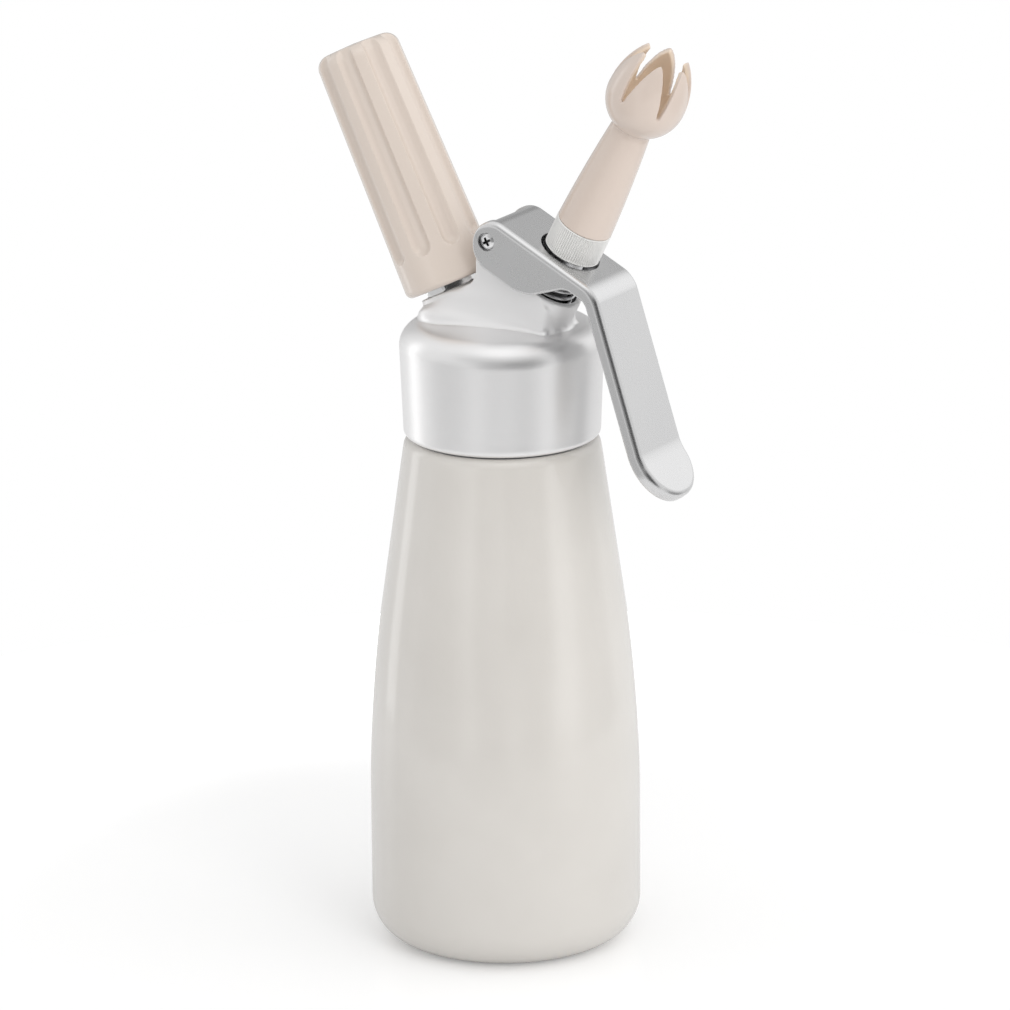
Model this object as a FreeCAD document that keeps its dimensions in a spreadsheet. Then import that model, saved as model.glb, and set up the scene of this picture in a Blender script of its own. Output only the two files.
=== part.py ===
# Whipped cream dispenser: a screw-necked bottle, a cast head with a squeeze lever over a
# spring-closed valve, a gas charger in a screw-down holder and a tulip decorating tip.
# Millimetres. The origin is on the bottle's axis at table level, +Z up, +X towards the lever.
import FreeCAD, Part
import math
import os
import Sketcher

doc = FreeCAD.newDocument("whipped_cream_dispenser")

# ---------------------------------------------------------------- driving dimensions

SIZES = {
    # bottle
    "bottle_radius": 40.0,
    "bottle_wall": 1.6,
    "foot_round": 12.0,
    "foot_ring_inner": 24.0,
    "foot_recess": 1.2,
    "belly_corner": 74.6,
    "belly_round": 400.0,
    "shoulder_height": 149.0,
    "shoulder_rise": 4.4,
    "shoulder_step": 5.9,
    "neck_radius": 23.4,
    "neck_length": 22.6,
    "neck_relief": 2.6,
    "neck_lip": 3.0,
    "neck_thread_pitch": 3.0,
    "neck_thread_depth": 1.0,
    "neck_bead": 0.6,
    # clearances shared by the whole assembly
    "running_clearance": 0.06,
    "seat_gap": 0.25,
    "side_gap": 0.3,
    "press_gap": 0.1,
    "small_chamfer": 0.4,
    "chamfer": 0.6,
    # head gasket and screw ring
    "gasket_thickness": 2.5,
    "gasket_width": 3.4,
    "ring_gap": 0.8,
    "ring_wall": 4.44,
    "ring_draft": 1.0,
    "ring_edge_round": 3.0,
    "ring_above_ceiling": 2.0,
    "head_round": 7.0,
    "dome_angle": 8.0,
    # charger side of the head
    "charger_tilt": 25.8,
    "charger_face_x": -16.0,
    "charger_face_rise": 17.0,
    "charger_boss_radius": 10.3,
    "gas_passage_radius": 2.0,
    "stub_shank_radius": 7.0,
    "stub_shank_length": 13.4,
    "stub_flats": 15.0,
    "stub_hexagon_turn": 17.0,
    "stub_neck_length": 3.6,
    "stub_thread_radius": 10.0,
    "stub_thread_length": 8.4,
    "stub_thread_pitch": 1.5,
    "stub_thread_depth": 0.8,
    "stub_socket_radius": 5.2,
    "pin_bore_radius": 2.4,
    "pin_chamber_depth": 8.4,
    "pin_radius": 1.0,
    "pin_flange": 2.4,
    "pin_reach": 4.0,
    "pin_point": 1.2,
    "retainer_depth": 0.2,
    "retainer_slot": 1.2,
    "non_return_thickness": 2.0,
    "charger_seal_seat": 4.4,
    "charger_seal_thickness": 1.6,
    # gas charger and its holder
    "charger_length": 65.5,
    "charger_radius": 8.95,
    "charger_wall": 1.9,
    "charger_mouth_radius": 4.4,
    "charger_mouth_length": 6.4,
    "charger_shoulder": 9.0,
    "charger_shoulder_round": 9.9,
    "charger_hole_radius": 1.25,
    "holder_clearance": 0.35,
    "holder_stand_off": 1.6,
    "holder_end_wall": 4.7,
    "holder_foot_radius": 14.0,
    "holder_top_radius": 12.6,
    "holder_foot_round": 2.0,
    "holder_top_round": 3.2,
    "holder_flutes": 9,
    "flute_width": 5.1,
    "flute_depth": 1.0,
    "flute_start": 10.6,
    "insert_wall": 1.45,
    "insert_length": 10.2,
    "insert_depth": 2.2,
    # lever and its pivot
    "pivot_x": 2.5,
    "pivot_rise": 35.7,
    "valve_tilt": 27.4,
    "valve_arm": 20.3,
    "lever_half_width": 12.4,
    "cheek_thickness": 3.2,
    "plate_top": 7.0,
    "plate_thickness": 2.8,
    "ear_radius": 6.6,
    "ear_offset": 1.9,
    "cheek_depth": 7.8,
    "cheek_belly": 17.5,
    "cheek_notch": 28.3,
    "cheek_notch_level": 2.4,
    "cheek_belly_round": 12.0,
    "cheek_notch_round": 4.0,
    "plate_back": -1.5,
    "bend_arm": 36.6,
    "bend_angle": 44.8,
    "bend_round": 9.0,
    "grip_length": 50.8,
    "grip_thickness": 4.2,
    "paddle_length": 14.0,
    "paddle_turn": 19.0,
    "paddle_round": 12.0,
    "grip_edge_round": 1.2,
    "stem_window_radius": 8.9,
    "stem_window_draw": 1.4,
    "pad_gap_radius": 7.5,
    "pad_radius": 2.5,
    "lug_left": -3.4,
    "lug_round": 3.6,
    "barrel_radius": 2.0,
    "pivot_head_radius": 2.45,
    "pivot_head_thickness": 1.6,
    "pivot_recess": 1.9,
    "pivot_screw_radius": 1.25,
    "cross_slot_width": 0.8,
    "cross_slot_length": 3.2,
    "cross_slot_depth": 1.0,
    # valve
    "valve_boss_radius": 8.9,
    "valve_boss_top": -6.1,
    "spring_bore_radius": 7.3,
    "spring_seat": -18.0,
    "bush_wall": 2.1,
    "bush_foot": -33.5,
    "bush_flange_width": 1.6,
    "bush_flange": 2.0,
    "inner_boss_wall": 2.1,
    "stem_radius": 4.5,
    "stem_bore_radius": 2.2,
    "stem_flange_radius": 8.4,
    "stem_flange": 2.0,
    "stem_flange_top": 1.0,
    "stem_top": 17.0,
    "stem_thread_radius": 5.0,
    "stem_thread_pitch": 1.25,
    "stem_thread_depth": 0.5,
    "stem_foot_radius": 3.6,
    "port_radius": 1.2,
    "port_rise": 0.9,
    "o_ring_radius": 0.72,
    "o_ring_side_room": 0.15,
    "o_ring_depth_room": 0.2,
    "o_ring_level": -24.2,
    "valve_seal_radius": 7.2,
    "valve_seal_thickness": 2.5,
    "valve_nut_flats": 11.0,
    "valve_nut_thickness": 3.8,
    "spring_wire": 0.55,
    "spring_radius": 6.1,
    "spring_turns": 6.5,
    "spring_end_gap": 0.15,
    # decorating tip
    "collar_foot": 7.45,
    "collar_length": 9.5,
    "collar_radius": 8.4,
    "collar_chamfer": 0.5,
    "spigot_radius": 6.4,
    "spigot_length": 6.0,
    "tip_passage_radius": 3.4,
    "tip_seal_thickness": 1.5,
    "tip_foot_radius": 8.35,
    "tip_waist_radius": 5.9,
    "tip_tube_round": 125.0,
    "tulip_centre": 61.5,
    "tulip_radius": 11.85,
    "tulip_rise": 15.5,
    "petal_round": 25.3,
    "petal_wall": 1.9,
    "petals": 6,
    "slit_depth": 15.5,
    "slit_half_width": 2.1,
    "petal_tip_round": 2.6,
}


class Size:
    """A dimension: its value now, and the spreadsheet expression that gives it."""

    def __init__(self, value, text):
        self.value = float(value)
        self.text = text

    def __add__(self, other):
        other = as_size(other)
        return Size(self.value + other.value, f"({self.text} + {other.text})")

    def __sub__(self, other):
        other = as_size(other)
        return Size(self.value - other.value, f"({self.text} - {other.text})")

    def __mul__(self, other):
        other = as_size(other)
        return Size(self.value * other.value, f"({self.text} * {other.text})")

    def __truediv__(self, other):
        other = as_size(other)
        return Size(self.value / other.value, f"({self.text} / {other.text})")

    def __neg__(self):
        return Size(-self.value, f"(0 - {self.text})")

    def __radd__(self, other):
        return as_size(other) + self

    def __rsub__(self, other):
        return as_size(other) - self

    __rmul__ = __mul__


def as_size(number):
    return number if isinstance(number, Size) else Size(number, repr(float(number)))


def cosine(angle):
    return Size(math.cos(math.radians(angle.value)), f"cos({angle.text})")


def sine(angle):
    return Size(math.sin(math.radians(angle.value)), f"sin({angle.text})")


def tangent(angle):
    return Size(math.tan(math.radians(angle.value)), f"tan({angle.text})")


def slope_angle(rise):
    return Size(math.degrees(math.atan(rise.value)), f"atan({rise.text})")


def root(square):
    return Size(math.sqrt(square.value), f"sqrt({square.text})")


def make_sheet():
    """Write the driving dimensions to the spreadsheet and return them as named sizes."""
    sheet = doc.addObject("Spreadsheet::Sheet", "sizes")
    named = {}
    for row, (alias, number) in enumerate(SIZES.items(), start=1):
        sheet.set(f"A{row}", alias)
        sheet.set(f"B{row}", str(number))
        sheet.setAlias(f"B{row}", alias)
        named[alias] = Size(number, f"sizes.{alias}")
    doc.recompute()
    return named


d = make_sheet()

# ---------------------------------------------------------------- derived places

ledge_z = d["shoulder_height"] + d["shoulder_rise"]
neck_top_z = ledge_z + d["neck_length"]
gasket_z = neck_top_z + d["seat_gap"]
ceiling_z = gasket_z + d["gasket_thickness"] + d["seat_gap"]
neck_crest = d["neck_radius"] + d["neck_thread_depth"]
ring_bore = neck_crest + d["running_clearance"]
pivot_z = ceiling_z + d["pivot_rise"]
plate_under = d["plate_top"] - d["plate_thickness"]
cheek_inner = d["lever_half_width"] - d["cheek_thickness"]
lug_half = cheek_inner - d["side_gap"]
bush_radius = d["stem_radius"] + d["bush_wall"]
bush_flange_radius = bush_radius + d["bush_flange_width"]
inner_boss_radius = bush_flange_radius + d["inner_boss_wall"]

# A frame is the (x, z) of its origin and its tilt about +Y; its own z runs along the tilted axis.
CHARGER = (d["charger_face_x"], ceiling_z + d["charger_face_rise"], -d["charger_tilt"])
PIVOT = (d["pivot_x"], pivot_z, d["valve_tilt"])
VALVE = (
    d["pivot_x"] + d["valve_arm"] * cosine(d["valve_tilt"]),
    pivot_z - d["valve_arm"] * sine(d["valve_tilt"]),
    d["valve_tilt"],
)

# ---------------------------------------------------------------- building tools

BEYOND = 1.0  # how far a cutting tool runs past the faces that it opens
SUNK = 0.1  # how far a joined solid runs into its neighbour, so that the two fuse

sub_parts = []


def bind(thing, name, size):
    """Bind one property of an object to the sheet."""
    thing.setExpression(name, as_size(size).text)


def place(thing, frame, along=0.0):
    """Put an object's own origin on a frame's axis, a distance along it."""
    x, z, tilt = frame
    along = as_size(along)
    rotation = FreeCAD.Rotation(FreeCAD.Vector(0, 1, 0), tilt.value)
    thing.Placement = FreeCAD.Placement(FreeCAD.Vector(0, 0, 0), rotation)
    bind(thing, "Placement.Rotation.Angle", tilt)
    bind(thing, "Placement.Base.x", x + along * sine(tilt))
    bind(thing, "Placement.Base.z", z + along * cosine(tilt))


def keep(thing, label, frame=None):
    """Name an object as a finished sub-part and put it in its frame."""
    thing.Label = label
    if frame is not None:
        place(thing, frame)
    sub_parts.append(thing)


def new_body(name):
    return doc.addObject("PartDesign::Body", name)


def plane_of(body, role):
    return next(f for f in body.Origin.OriginFeatures if f.Role == role)


def arc_between(start, end, radius, centre_left):
    """The short arc of a radius from start to end, and whether it runs anticlockwise."""
    chord = end - start
    middle = (start + end) * 0.5
    height = math.sqrt(max(radius * radius - chord.Length * chord.Length / 4.0, 0.0))
    left = FreeCAD.Vector(-chord.y, chord.x, 0).normalize()
    centre = middle + left * (height if centre_left else -height)
    first, last = (start, end) if centre_left else (end, start)
    angle_first = math.atan2(first.y - centre.y, first.x - centre.x)
    angle_last = math.atan2(last.y - centre.y, last.x - centre.x)
    circle = Part.Circle(centre, FreeCAD.Vector(0, 0, 1), radius)
    return Part.ArcOfCircle(circle, angle_first, angle_last)


def fix_point(sketch, geometry, position, x, y):
    """Tie one point of a sketch to its two sizes."""
    origin = -1
    if x.value == 0.0:
        sketch.addConstraint(Sketcher.Constraint("PointOnObject", geometry, position, -2))
    else:
        rule = Sketcher.Constraint("DistanceX", origin, 1, geometry, position, x.value)
        index = sketch.addConstraint(rule)
        bind(sketch, f"Constraints[{index}]", x)
    if y.value == 0.0:
        sketch.addConstraint(Sketcher.Constraint("PointOnObject", geometry, position, -1))
    else:
        rule = Sketcher.Constraint("DistanceY", origin, 1, geometry, position, y.value)
        index = sketch.addConstraint(rule)
        bind(sketch, f"Constraints[{index}]", y)


def outline_sketch(body, name, corners, role="XZ_Plane"):
    """A closed sketch through corners (x, y); (x, y, radius, centre_left) ends an arc."""
    sketch = body.newObject("Sketcher::SketchObject", name)
    sketch.AttachmentSupport = [(plane_of(body, role), "")]
    sketch.MapMode = "FlatFace"
    points = [(as_size(c[0]), as_size(c[1])) for c in corners]
    joins = []
    for index, corner in enumerate(corners):
        start = FreeCAD.Vector(points[index - 1][0].value, points[index - 1][1].value, 0)
        end = FreeCAD.Vector(points[index][0].value, points[index][1].value, 0)
        if len(corner) == 2:
            geometry = sketch.addGeometry(Part.LineSegment(start, end), False)
            joins.append((geometry, 1, 2))
            continue
        radius, centre_left = as_size(corner[2]), corner[3]
        arc = arc_between(start, end, radius.value, centre_left)
        geometry = sketch.addGeometry(arc, False)
        rule = sketch.addConstraint(Sketcher.Constraint("Radius", geometry, radius.value))
        bind(sketch, f"Constraints[{rule}]", radius)
        joins.append((geometry, 1, 2) if centre_left else (geometry, 2, 1))
    for index, (geometry, _, last) in enumerate(joins):
        following, first, _ = joins[(index + 1) % len(joins)]
        sketch.addConstraint(Sketcher.Constraint("Coincident", geometry, last, following, first))
        fix_point(sketch, geometry, last, *points[index])
    return sketch


def revolve(body, sketch, name):
    feature = body.newObject("PartDesign::Revolution", name)
    feature.Profile = sketch
    feature.ReferenceAxis = (sketch, ["V_Axis"])
    feature.Angle = 360.0
    return feature


def turned(name, corners):
    """A turned piece: a body whose outline (radius, height) is revolved about its own z."""
    body = new_body(name + "_body")
    revolve(body, outline_sketch(body, name + "_outline", corners), name + "_turning")
    return body


def pad(body, sketch, length, name):
    feature = body.newObject("PartDesign::Pad", name)
    feature.Profile = sketch
    feature.SideType = "Symmetric"
    bind(feature, "Length", length)
    return feature


def cut_checked(body, feature):
    """Recompute a cutting feature and make sure that it removed material."""
    doc.recompute()
    if not feature.Shape.Volume < feature.BaseFeature.Shape.Volume:
        raise RuntimeError(f"{feature.Name} in {body.Name} cuts nothing")


def pocket(body, sketch, length, name):
    feature = body.newObject("PartDesign::Pocket", name)
    feature.Profile = sketch
    feature.SideType = "Symmetric"
    bind(feature, "Length", length)
    cut_checked(body, feature)
    return feature


def polar(body, feature, count, name):
    """Repeat a cutting feature round the body's own z axis."""
    pattern = body.newObject("PartDesign::PolarPattern", name)
    pattern.Originals = [feature]
    pattern.Axis = (plane_of(body, "Z_Axis"), [""])
    pattern.Angle = 360.0
    bind(pattern, "Occurrences", count)
    body.Tip = pattern
    cut_checked(body, pattern)
    return pattern


def rounded(body, feature, radius, name, wanted):
    """Round the edges of a feature that the test picks."""
    doc.recompute()
    names = [f"Edge{i}" for i, e in enumerate(feature.Shape.Edges, start=1) if wanted(e)]
    if not names:
        raise RuntimeError(f"{name} finds no edge in {body.Name}")
    fillet = body.newObject("PartDesign::Fillet", name)
    fillet.Base = (feature, names)
    bind(fillet, "Radius", radius)
    return fillet


def cross_edge_at(x, z):
    """A test for the straight edge across a body (along y) through a point of its outline."""
    def wanted(edge):
        ends = [v.Point for v in edge.Vertexes]
        if len(ends) != 2:
            return False
        flat = all(math.hypot(p.x - x.value, p.z - z.value) < 0.02 for p in ends)
        return flat and abs(ends[0].y - ends[1].y) > 0.5
    return wanted


def rod(name, radius, start, length, frame=None):
    """A round tool along z, from start for a length, in a frame of its own if given."""
    cylinder = doc.addObject("Part::Cylinder", name)
    bind(cylinder, "Radius", radius)
    bind(cylinder, "Height", length)
    if frame is None:
        bind(cylinder, "Placement.Base.z", start)
    else:
        place(cylinder, frame, start)
    return cylinder


def cross_rod(name, radius, centre, start, length):
    """A round tool along +y, at a centre (x, z), from start for a length."""
    cylinder = doc.addObject("Part::Cylinder", name)
    quarter_turn = FreeCAD.Rotation(FreeCAD.Vector(1, 0, 0), -90)
    cylinder.Placement = FreeCAD.Placement(FreeCAD.Vector(0, 0, 0), quarter_turn)
    bind(cylinder, "Radius", radius)
    bind(cylinder, "Height", length)
    bind(cylinder, "Placement.Base.x", centre[0])
    bind(cylinder, "Placement.Base.y", start)
    bind(cylinder, "Placement.Base.z", centre[1])
    return cylinder


def bar(name, low, lengths):
    """A box tool from its low corner."""
    box = doc.addObject("Part::Box", name)
    for axis, side, start, length in zip("xyz", ("Length", "Width", "Height"), low, lengths):
        bind(box, side, length)
        bind(box, f"Placement.Base.{axis}", start)
    return box


def prism(name, flats, start, length):
    """A hexagon bar along z, by its width across the flats."""
    hexagon = doc.addObject("Part::Prism", name)
    hexagon.Polygon = 6
    bind(hexagon, "Circumradius", flats / root(as_size(3.0)))
    bind(hexagon, "Height", length)
    bind(hexagon, "Placement.Base.z", start)
    return hexagon


def joined(name, pieces, refine=True):
    fuse = doc.addObject("Part::MultiFuse", name)
    fuse.Shapes = pieces
    fuse.Refine = refine
    return fuse


def cut_from(name, base, tools, refine=True):
    """A base less its tools."""
    cut = doc.addObject("Part::Cut", name)
    cut.Base = base
    cut.Tool = tools[0] if len(tools) == 1 else joined(name + "_tools", tools)
    cut.Refine = refine
    return cut


def ring(name, inner, outer, low, high):
    """A plain turned ring."""
    return turned(name, [(inner, low), (outer, low), (outer, high), (inner, high)])


def thread_ridges(root_radius, crest, start, pitch, count):
    """Corners of a male thread's ridges, going up from a height."""
    corners = []
    for turn in range(count):
        foot = start + pitch * turn
        corners += [
            (root_radius, foot + pitch * 0.1),
            (crest, foot + pitch * 0.4),
            (crest, foot + pitch * 0.6),
            (root_radius, foot + pitch * 0.9),
        ]
    return corners


def whole_turns(length, pitch):
    return max(1, int(length.value / pitch.value + 1e-6))


# ---------------------------------------------------------------- bottle

def make_bottle():
    """Drawn bottle: foot ring, straight belly, tapered side, round shoulder, threaded neck."""
    wall = d["bottle_wall"]
    radius = d["bottle_radius"]
    foot = d["foot_round"]
    shoulder = d["neck_radius"] + d["shoulder_step"]
    taper = slope_angle((radius - shoulder) / (d["shoulder_height"] - d["belly_corner"]))
    reach = d["belly_round"] * tangent(taper / 2)
    belly_top = d["belly_corner"] - reach
    taper_foot = (radius - reach * sine(taper), d["belly_corner"] + reach * cosine(taper))
    bend = d["shoulder_rise"] / (1 - sine(taper))
    bend_centre = (shoulder - bend * cosine(taper), ledge_z - bend)
    neck = d["neck_radius"]
    recess_edge = d["foot_ring_inner"] - d["foot_recess"] * 2
    outside = [
        (0, d["foot_recess"]),
        (recess_edge, d["foot_recess"]),
        (d["foot_ring_inner"], 0),
        (radius - foot, 0),
        (radius, foot, foot, True),
        (radius, belly_top),
        (taper_foot[0], taper_foot[1], d["belly_round"], True),
        (shoulder, d["shoulder_height"]),
        (bend_centre[0], ledge_z, bend, True),
        (neck, ledge_z),
    ]
    thread_start = ledge_z + d["neck_relief"]
    thread_room = d["neck_length"] - d["neck_relief"] - d["neck_lip"]
    turns = whole_turns(thread_room, d["neck_thread_pitch"])
    outside += thread_ridges(neck, neck_crest, thread_start, d["neck_thread_pitch"], turns)
    bead = d["neck_bead"]
    outside += [
        (neck, neck_top_z - bead * 4),
        (neck + bead, neck_top_z - bead * 3),
        (neck + bead, neck_top_z - bead),
        (neck, neck_top_z),
    ]
    inside = [
        (neck - wall, neck_top_z),
        (neck - wall, ledge_z - wall),
        (bend_centre[0], ledge_z - wall),
        (shoulder - wall * cosine(taper), d["shoulder_height"] - wall * sine(taper),
         bend - wall, False),
        (taper_foot[0] - wall * cosine(taper), taper_foot[1] - wall * sine(taper)),
        (radius - wall, belly_top, d["belly_round"] - wall, False),
        (radius - wall, foot),
        (radius - foot, wall, foot - wall, False),
        (d["foot_ring_inner"], wall),
        (recess_edge, d["foot_recess"] + wall),
        (0, d["foot_recess"] + wall),
    ]
    keep(turned("bottle", outside + inside), "bottle")


def make_gasket():
    """Flat rubber ring on the bottle's rim, under the head's ceiling."""
    outer = d["neck_radius"] + d["neck_bead"]
    inner = outer - d["gasket_width"]
    keep(ring("gasket", inner, outer, gasket_z, gasket_z + d["gasket_thickness"]), "head_gasket")


# ---------------------------------------------------------------- head casting

def head_shell(foot_z):
    """Turned outside of the casting: screw ring, rounded shoulder and shallow dome."""
    foot_radius = ring_bore + d["ring_wall"]
    top_radius = foot_radius + d["ring_draft"]
    edge = d["ring_edge_round"]
    straight_top = ceiling_z + d["ring_above_ceiling"]
    round_radius = d["head_round"]
    dome_foot = top_radius - round_radius * (1 - sine(d["dome_angle"]))
    dome_foot_z = straight_top + round_radius * cosine(d["dome_angle"])
    dome_radius = dome_foot / sine(d["dome_angle"])
    dome_top_z = dome_foot_z + dome_radius * (1 - cosine(d["dome_angle"]))
    return turned("head_shell", [
        (0, foot_z),
        (foot_radius - edge, foot_z),
        (foot_radius, foot_z + edge, edge, True),
        (top_radius, straight_top),
        (dome_foot, dome_foot_z, round_radius, True),
        (0, dome_top_z, dome_radius, True),
    ])


def head_hollow(foot_z):
    """The space for the bottle's neck, with a chamfered mouth."""
    mouth = ring_bore + d["ring_gap"] + BEYOND
    return turned("head_hollow", [
        (0, foot_z - BEYOND),
        (mouth, foot_z - BEYOND),
        (ring_bore, foot_z + d["ring_gap"]),
        (ring_bore, ceiling_z),
        (0, ceiling_z),
    ])


def head_lug():
    """Web across the dome that rises to the lever's hinge lug."""
    body = new_body("lug_body")
    low_z = ceiling_z + d["ring_above_ceiling"]
    top = d["lug_round"]
    left_round = d["pivot_x"] - d["lug_left"]
    boss_corner = (
        VALVE[0] + d["valve_boss_top"] * sine(d["valve_tilt"])
        - d["valve_boss_radius"] * cosine(d["valve_tilt"]),
        VALVE[1] + d["valve_boss_top"] * cosine(d["valve_tilt"])
        + d["valve_boss_radius"] * sine(d["valve_tilt"]),
    )
    left_shoulder = pivot_z + top - left_round
    under_face = d["side_gap"] * 2
    face_slope = tangent(d["charger_tilt"])
    sketch = outline_sketch(body, "lug_outline", [
        (CHARGER[0], low_z),
        (VALVE[0], low_z),
        boss_corner,
        (d["pivot_x"] + top, pivot_z),
        (d["pivot_x"], pivot_z + top, top, True),
        (d["lug_left"], left_shoulder, left_round, True),
        (d["lug_left"], CHARGER[1] + (d["lug_left"] - CHARGER[0]) * face_slope - under_face),
        (CHARGER[0], CHARGER[1] - under_face),
    ])
    pad(body, sketch, lug_half * 2, "lug_pad")
    return body


def make_head():
    """Cast head: shell, charger boss, valve boss, inner boss and lug, then the machining.

    Its faces aren't refined, because that can break the edges where lug and boss meet.
    """
    boss_depth = d["charger_face_rise"] / cosine(d["charger_tilt"])
    valve_depth = VALVE[1] - ceiling_z
    inner_foot = d["bush_foot"] - d["bush_flange"]
    inner_length = d["spring_seat"] - inner_foot
    foot_z = ledge_z + d["ring_gap"]
    outside = joined("head_casting", [
        head_shell(foot_z),
        head_lug(),
        rod("charger_boss", d["charger_boss_radius"], -boss_depth, boss_depth, CHARGER),
        rod("valve_boss", d["valve_boss_radius"], d["valve_boss_top"] - valve_depth,
            valve_depth, VALVE),
    ], refine=False)
    shell = cut_from("head_hollowed", outside, [head_hollow(foot_z)], refine=False)
    cast = joined("head_with_inner_boss", [
        shell,
        rod("inner_boss", inner_boss_radius, inner_foot, inner_length, VALVE),
    ], refine=False)
    cuts = [
        rod("stub_bore", d["stub_shank_radius"], -d["stub_shank_length"] - d["seat_gap"],
            d["stub_shank_length"] + d["seat_gap"], CHARGER),
        rod("gas_passage", d["gas_passage_radius"], -boss_depth - d["stub_shank_radius"],
            boss_depth, CHARGER),
        rod("spring_bore", d["spring_bore_radius"], d["spring_seat"],
            d["valve_boss_top"] - d["spring_seat"] + BEYOND, VALVE),
        rod("bush_bore", bush_radius, d["bush_foot"] - BEYOND,
            d["spring_seat"] - d["bush_foot"] + BEYOND * 2, VALVE),
        rod("bush_seat", bush_flange_radius + d["side_gap"], inner_foot - BEYOND,
            d["bush_flange"] + BEYOND, VALVE),
        cross_rod("barrel_bore", d["barrel_radius"], (d["pivot_x"], pivot_z),
                  -lug_half - BEYOND, (lug_half + BEYOND) * 2),
    ]
    keep(cut_from("head_cut", cast, cuts, refine=False), "head")


# ---------------------------------------------------------------- charger side

def make_charger_stub():
    """Threaded stub in the charger boss, with a spanner hexagon between boss and thread."""
    shank = d["stub_shank_radius"]
    foot = -d["stub_shank_length"]
    thread = d["stub_thread_radius"]
    valley = thread - d["stub_thread_depth"]
    start = d["stub_neck_length"]
    top = start + d["stub_thread_length"]
    edge = d["small_chamfer"]
    turns = whole_turns(d["stub_thread_length"] - edge, d["stub_thread_pitch"])
    socket = d["stub_socket_radius"]
    chamber_top = foot + d["pin_chamber_depth"]
    outside = [
        (shank - d["chamfer"], foot),
        (shank, foot + d["chamfer"]),
        (shank, start),
        (valley, start),
    ]
    outside += thread_ridges(valley, thread, start, d["stub_thread_pitch"], turns)
    inside = [
        (valley, top - edge),
        (valley - edge, top),
        (socket, top),
        (socket, d["charger_seal_seat"]),
        (d["pin_bore_radius"], d["charger_seal_seat"]),
        (d["pin_bore_radius"], chamber_top),
        (socket, chamber_top),
        (socket, foot),
    ]
    hexagon = prism("stub_hexagon", d["stub_flats"], 0.0, start)
    bind(hexagon, "Placement.Rotation.Angle", d["stub_hexagon_turn"])
    core = rod("stub_hexagon_core", (socket + shank) / 2, -BEYOND, start + BEYOND * 2)
    collar = cut_from("stub_hexagon_cut", hexagon, [core])
    stub = joined("stub_with_hexagon", [turned("stub_turned", outside + inside), collar])
    keep(stub, "charger_stub", CHARGER)


def make_pin_set():
    """Hollow piercing pin, the non-return seal behind it and the slotted ring below."""
    chamber_top = d["pin_chamber_depth"] - d["stub_shank_length"]
    bore = d["pin_radius"] / 2
    slim = d["pin_bore_radius"] - d["press_gap"]
    wide = d["stub_socket_radius"] - d["press_gap"]
    flange_low = chamber_top - d["pin_flange"]
    edge = d["small_chamfer"]
    step = d["charger_seal_seat"] - edge
    tip = d["charger_seal_seat"] + d["pin_reach"]
    pin = turned("piercing_pin", [
        (bore, flange_low),
        (wide, flange_low),
        (wide, chamber_top),
        (slim, chamber_top),
        (slim, step),
        (d["pin_radius"], step + edge),
        (d["pin_radius"], tip - d["pin_point"]),
        (bore, tip),
    ])
    keep(pin, "piercing_pin", CHARGER)
    seal_low = flange_low - d["non_return_thickness"]
    seal = ring("non_return_seal", d["gas_passage_radius"] * 0.6, wide, seal_low, flange_low)
    keep(seal, "non_return_seal", CHARGER)
    foot = d["retainer_depth"] - d["stub_shank_length"]
    plain = ring("retainer", d["gas_passage_radius"], d["stub_socket_radius"], foot, seal_low)
    width = d["cross_slot_width"] * 2
    reach = d["stub_socket_radius"] + BEYOND
    slot = bar("retainer_slot", (-reach, -width / 2, foot - BEYOND),
               (reach * 2, width, d["retainer_slot"] + BEYOND))
    keep(cut_from("retainer_cut", plain, [slot]), "pin_retainer", CHARGER)


def make_charger_seal():
    """Rubber ring in the stub's socket that the charger's mouth is pressed onto."""
    low = d["charger_seal_seat"]
    outer = d["stub_socket_radius"] - d["press_gap"]
    inner = d["pin_radius"] + d["small_chamfer"]
    seal = ring("charger_seal", inner, outer, low, low + d["charger_seal_thickness"])
    keep(seal, "charger_seal", CHARGER)


def charger_mouth_level():
    return d["charger_seal_seat"] + d["charger_seal_thickness"] + d["seat_gap"]


def make_gas_charger():
    """Steel gas capsule, mouth down on its seal, already pierced."""
    mouth = charger_mouth_level()
    end = mouth + d["charger_length"]
    radius = d["charger_radius"]
    wall = d["charger_wall"]
    neck = d["charger_mouth_radius"]
    neck_top = mouth + d["charger_mouth_length"]
    body_start = neck_top + d["charger_shoulder"]
    hole = d["charger_hole_radius"]
    edge = d["small_chamfer"]
    shoulder = d["charger_shoulder_round"]
    inner = radius - wall
    capsule = turned("gas_charger", [
        (hole, mouth),
        (neck - edge, mouth),
        (neck, mouth + edge),
        (neck, neck_top),
        (radius, body_start, shoulder, True),
        (radius, end - radius),
        (0, end, radius, True),
        (0, end - wall),
        (inner, end - radius, inner, False),
        (inner, body_start),
        (neck - wall, neck_top, shoulder, False),
        (neck - wall, mouth + wall),
        (hole, mouth + wall),
    ])
    keep(capsule, "gas_charger", CHARGER)


def make_holder_insert():
    """Threaded metal ring moulded into the holder's mouth."""
    low = d["holder_stand_off"] + d["insert_depth"]
    inner = d["stub_thread_radius"] + d["running_clearance"]
    insert = ring("holder_insert", inner, inner + d["insert_wall"], low, low + d["insert_length"])
    keep(insert, "holder_insert", CHARGER)


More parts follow.
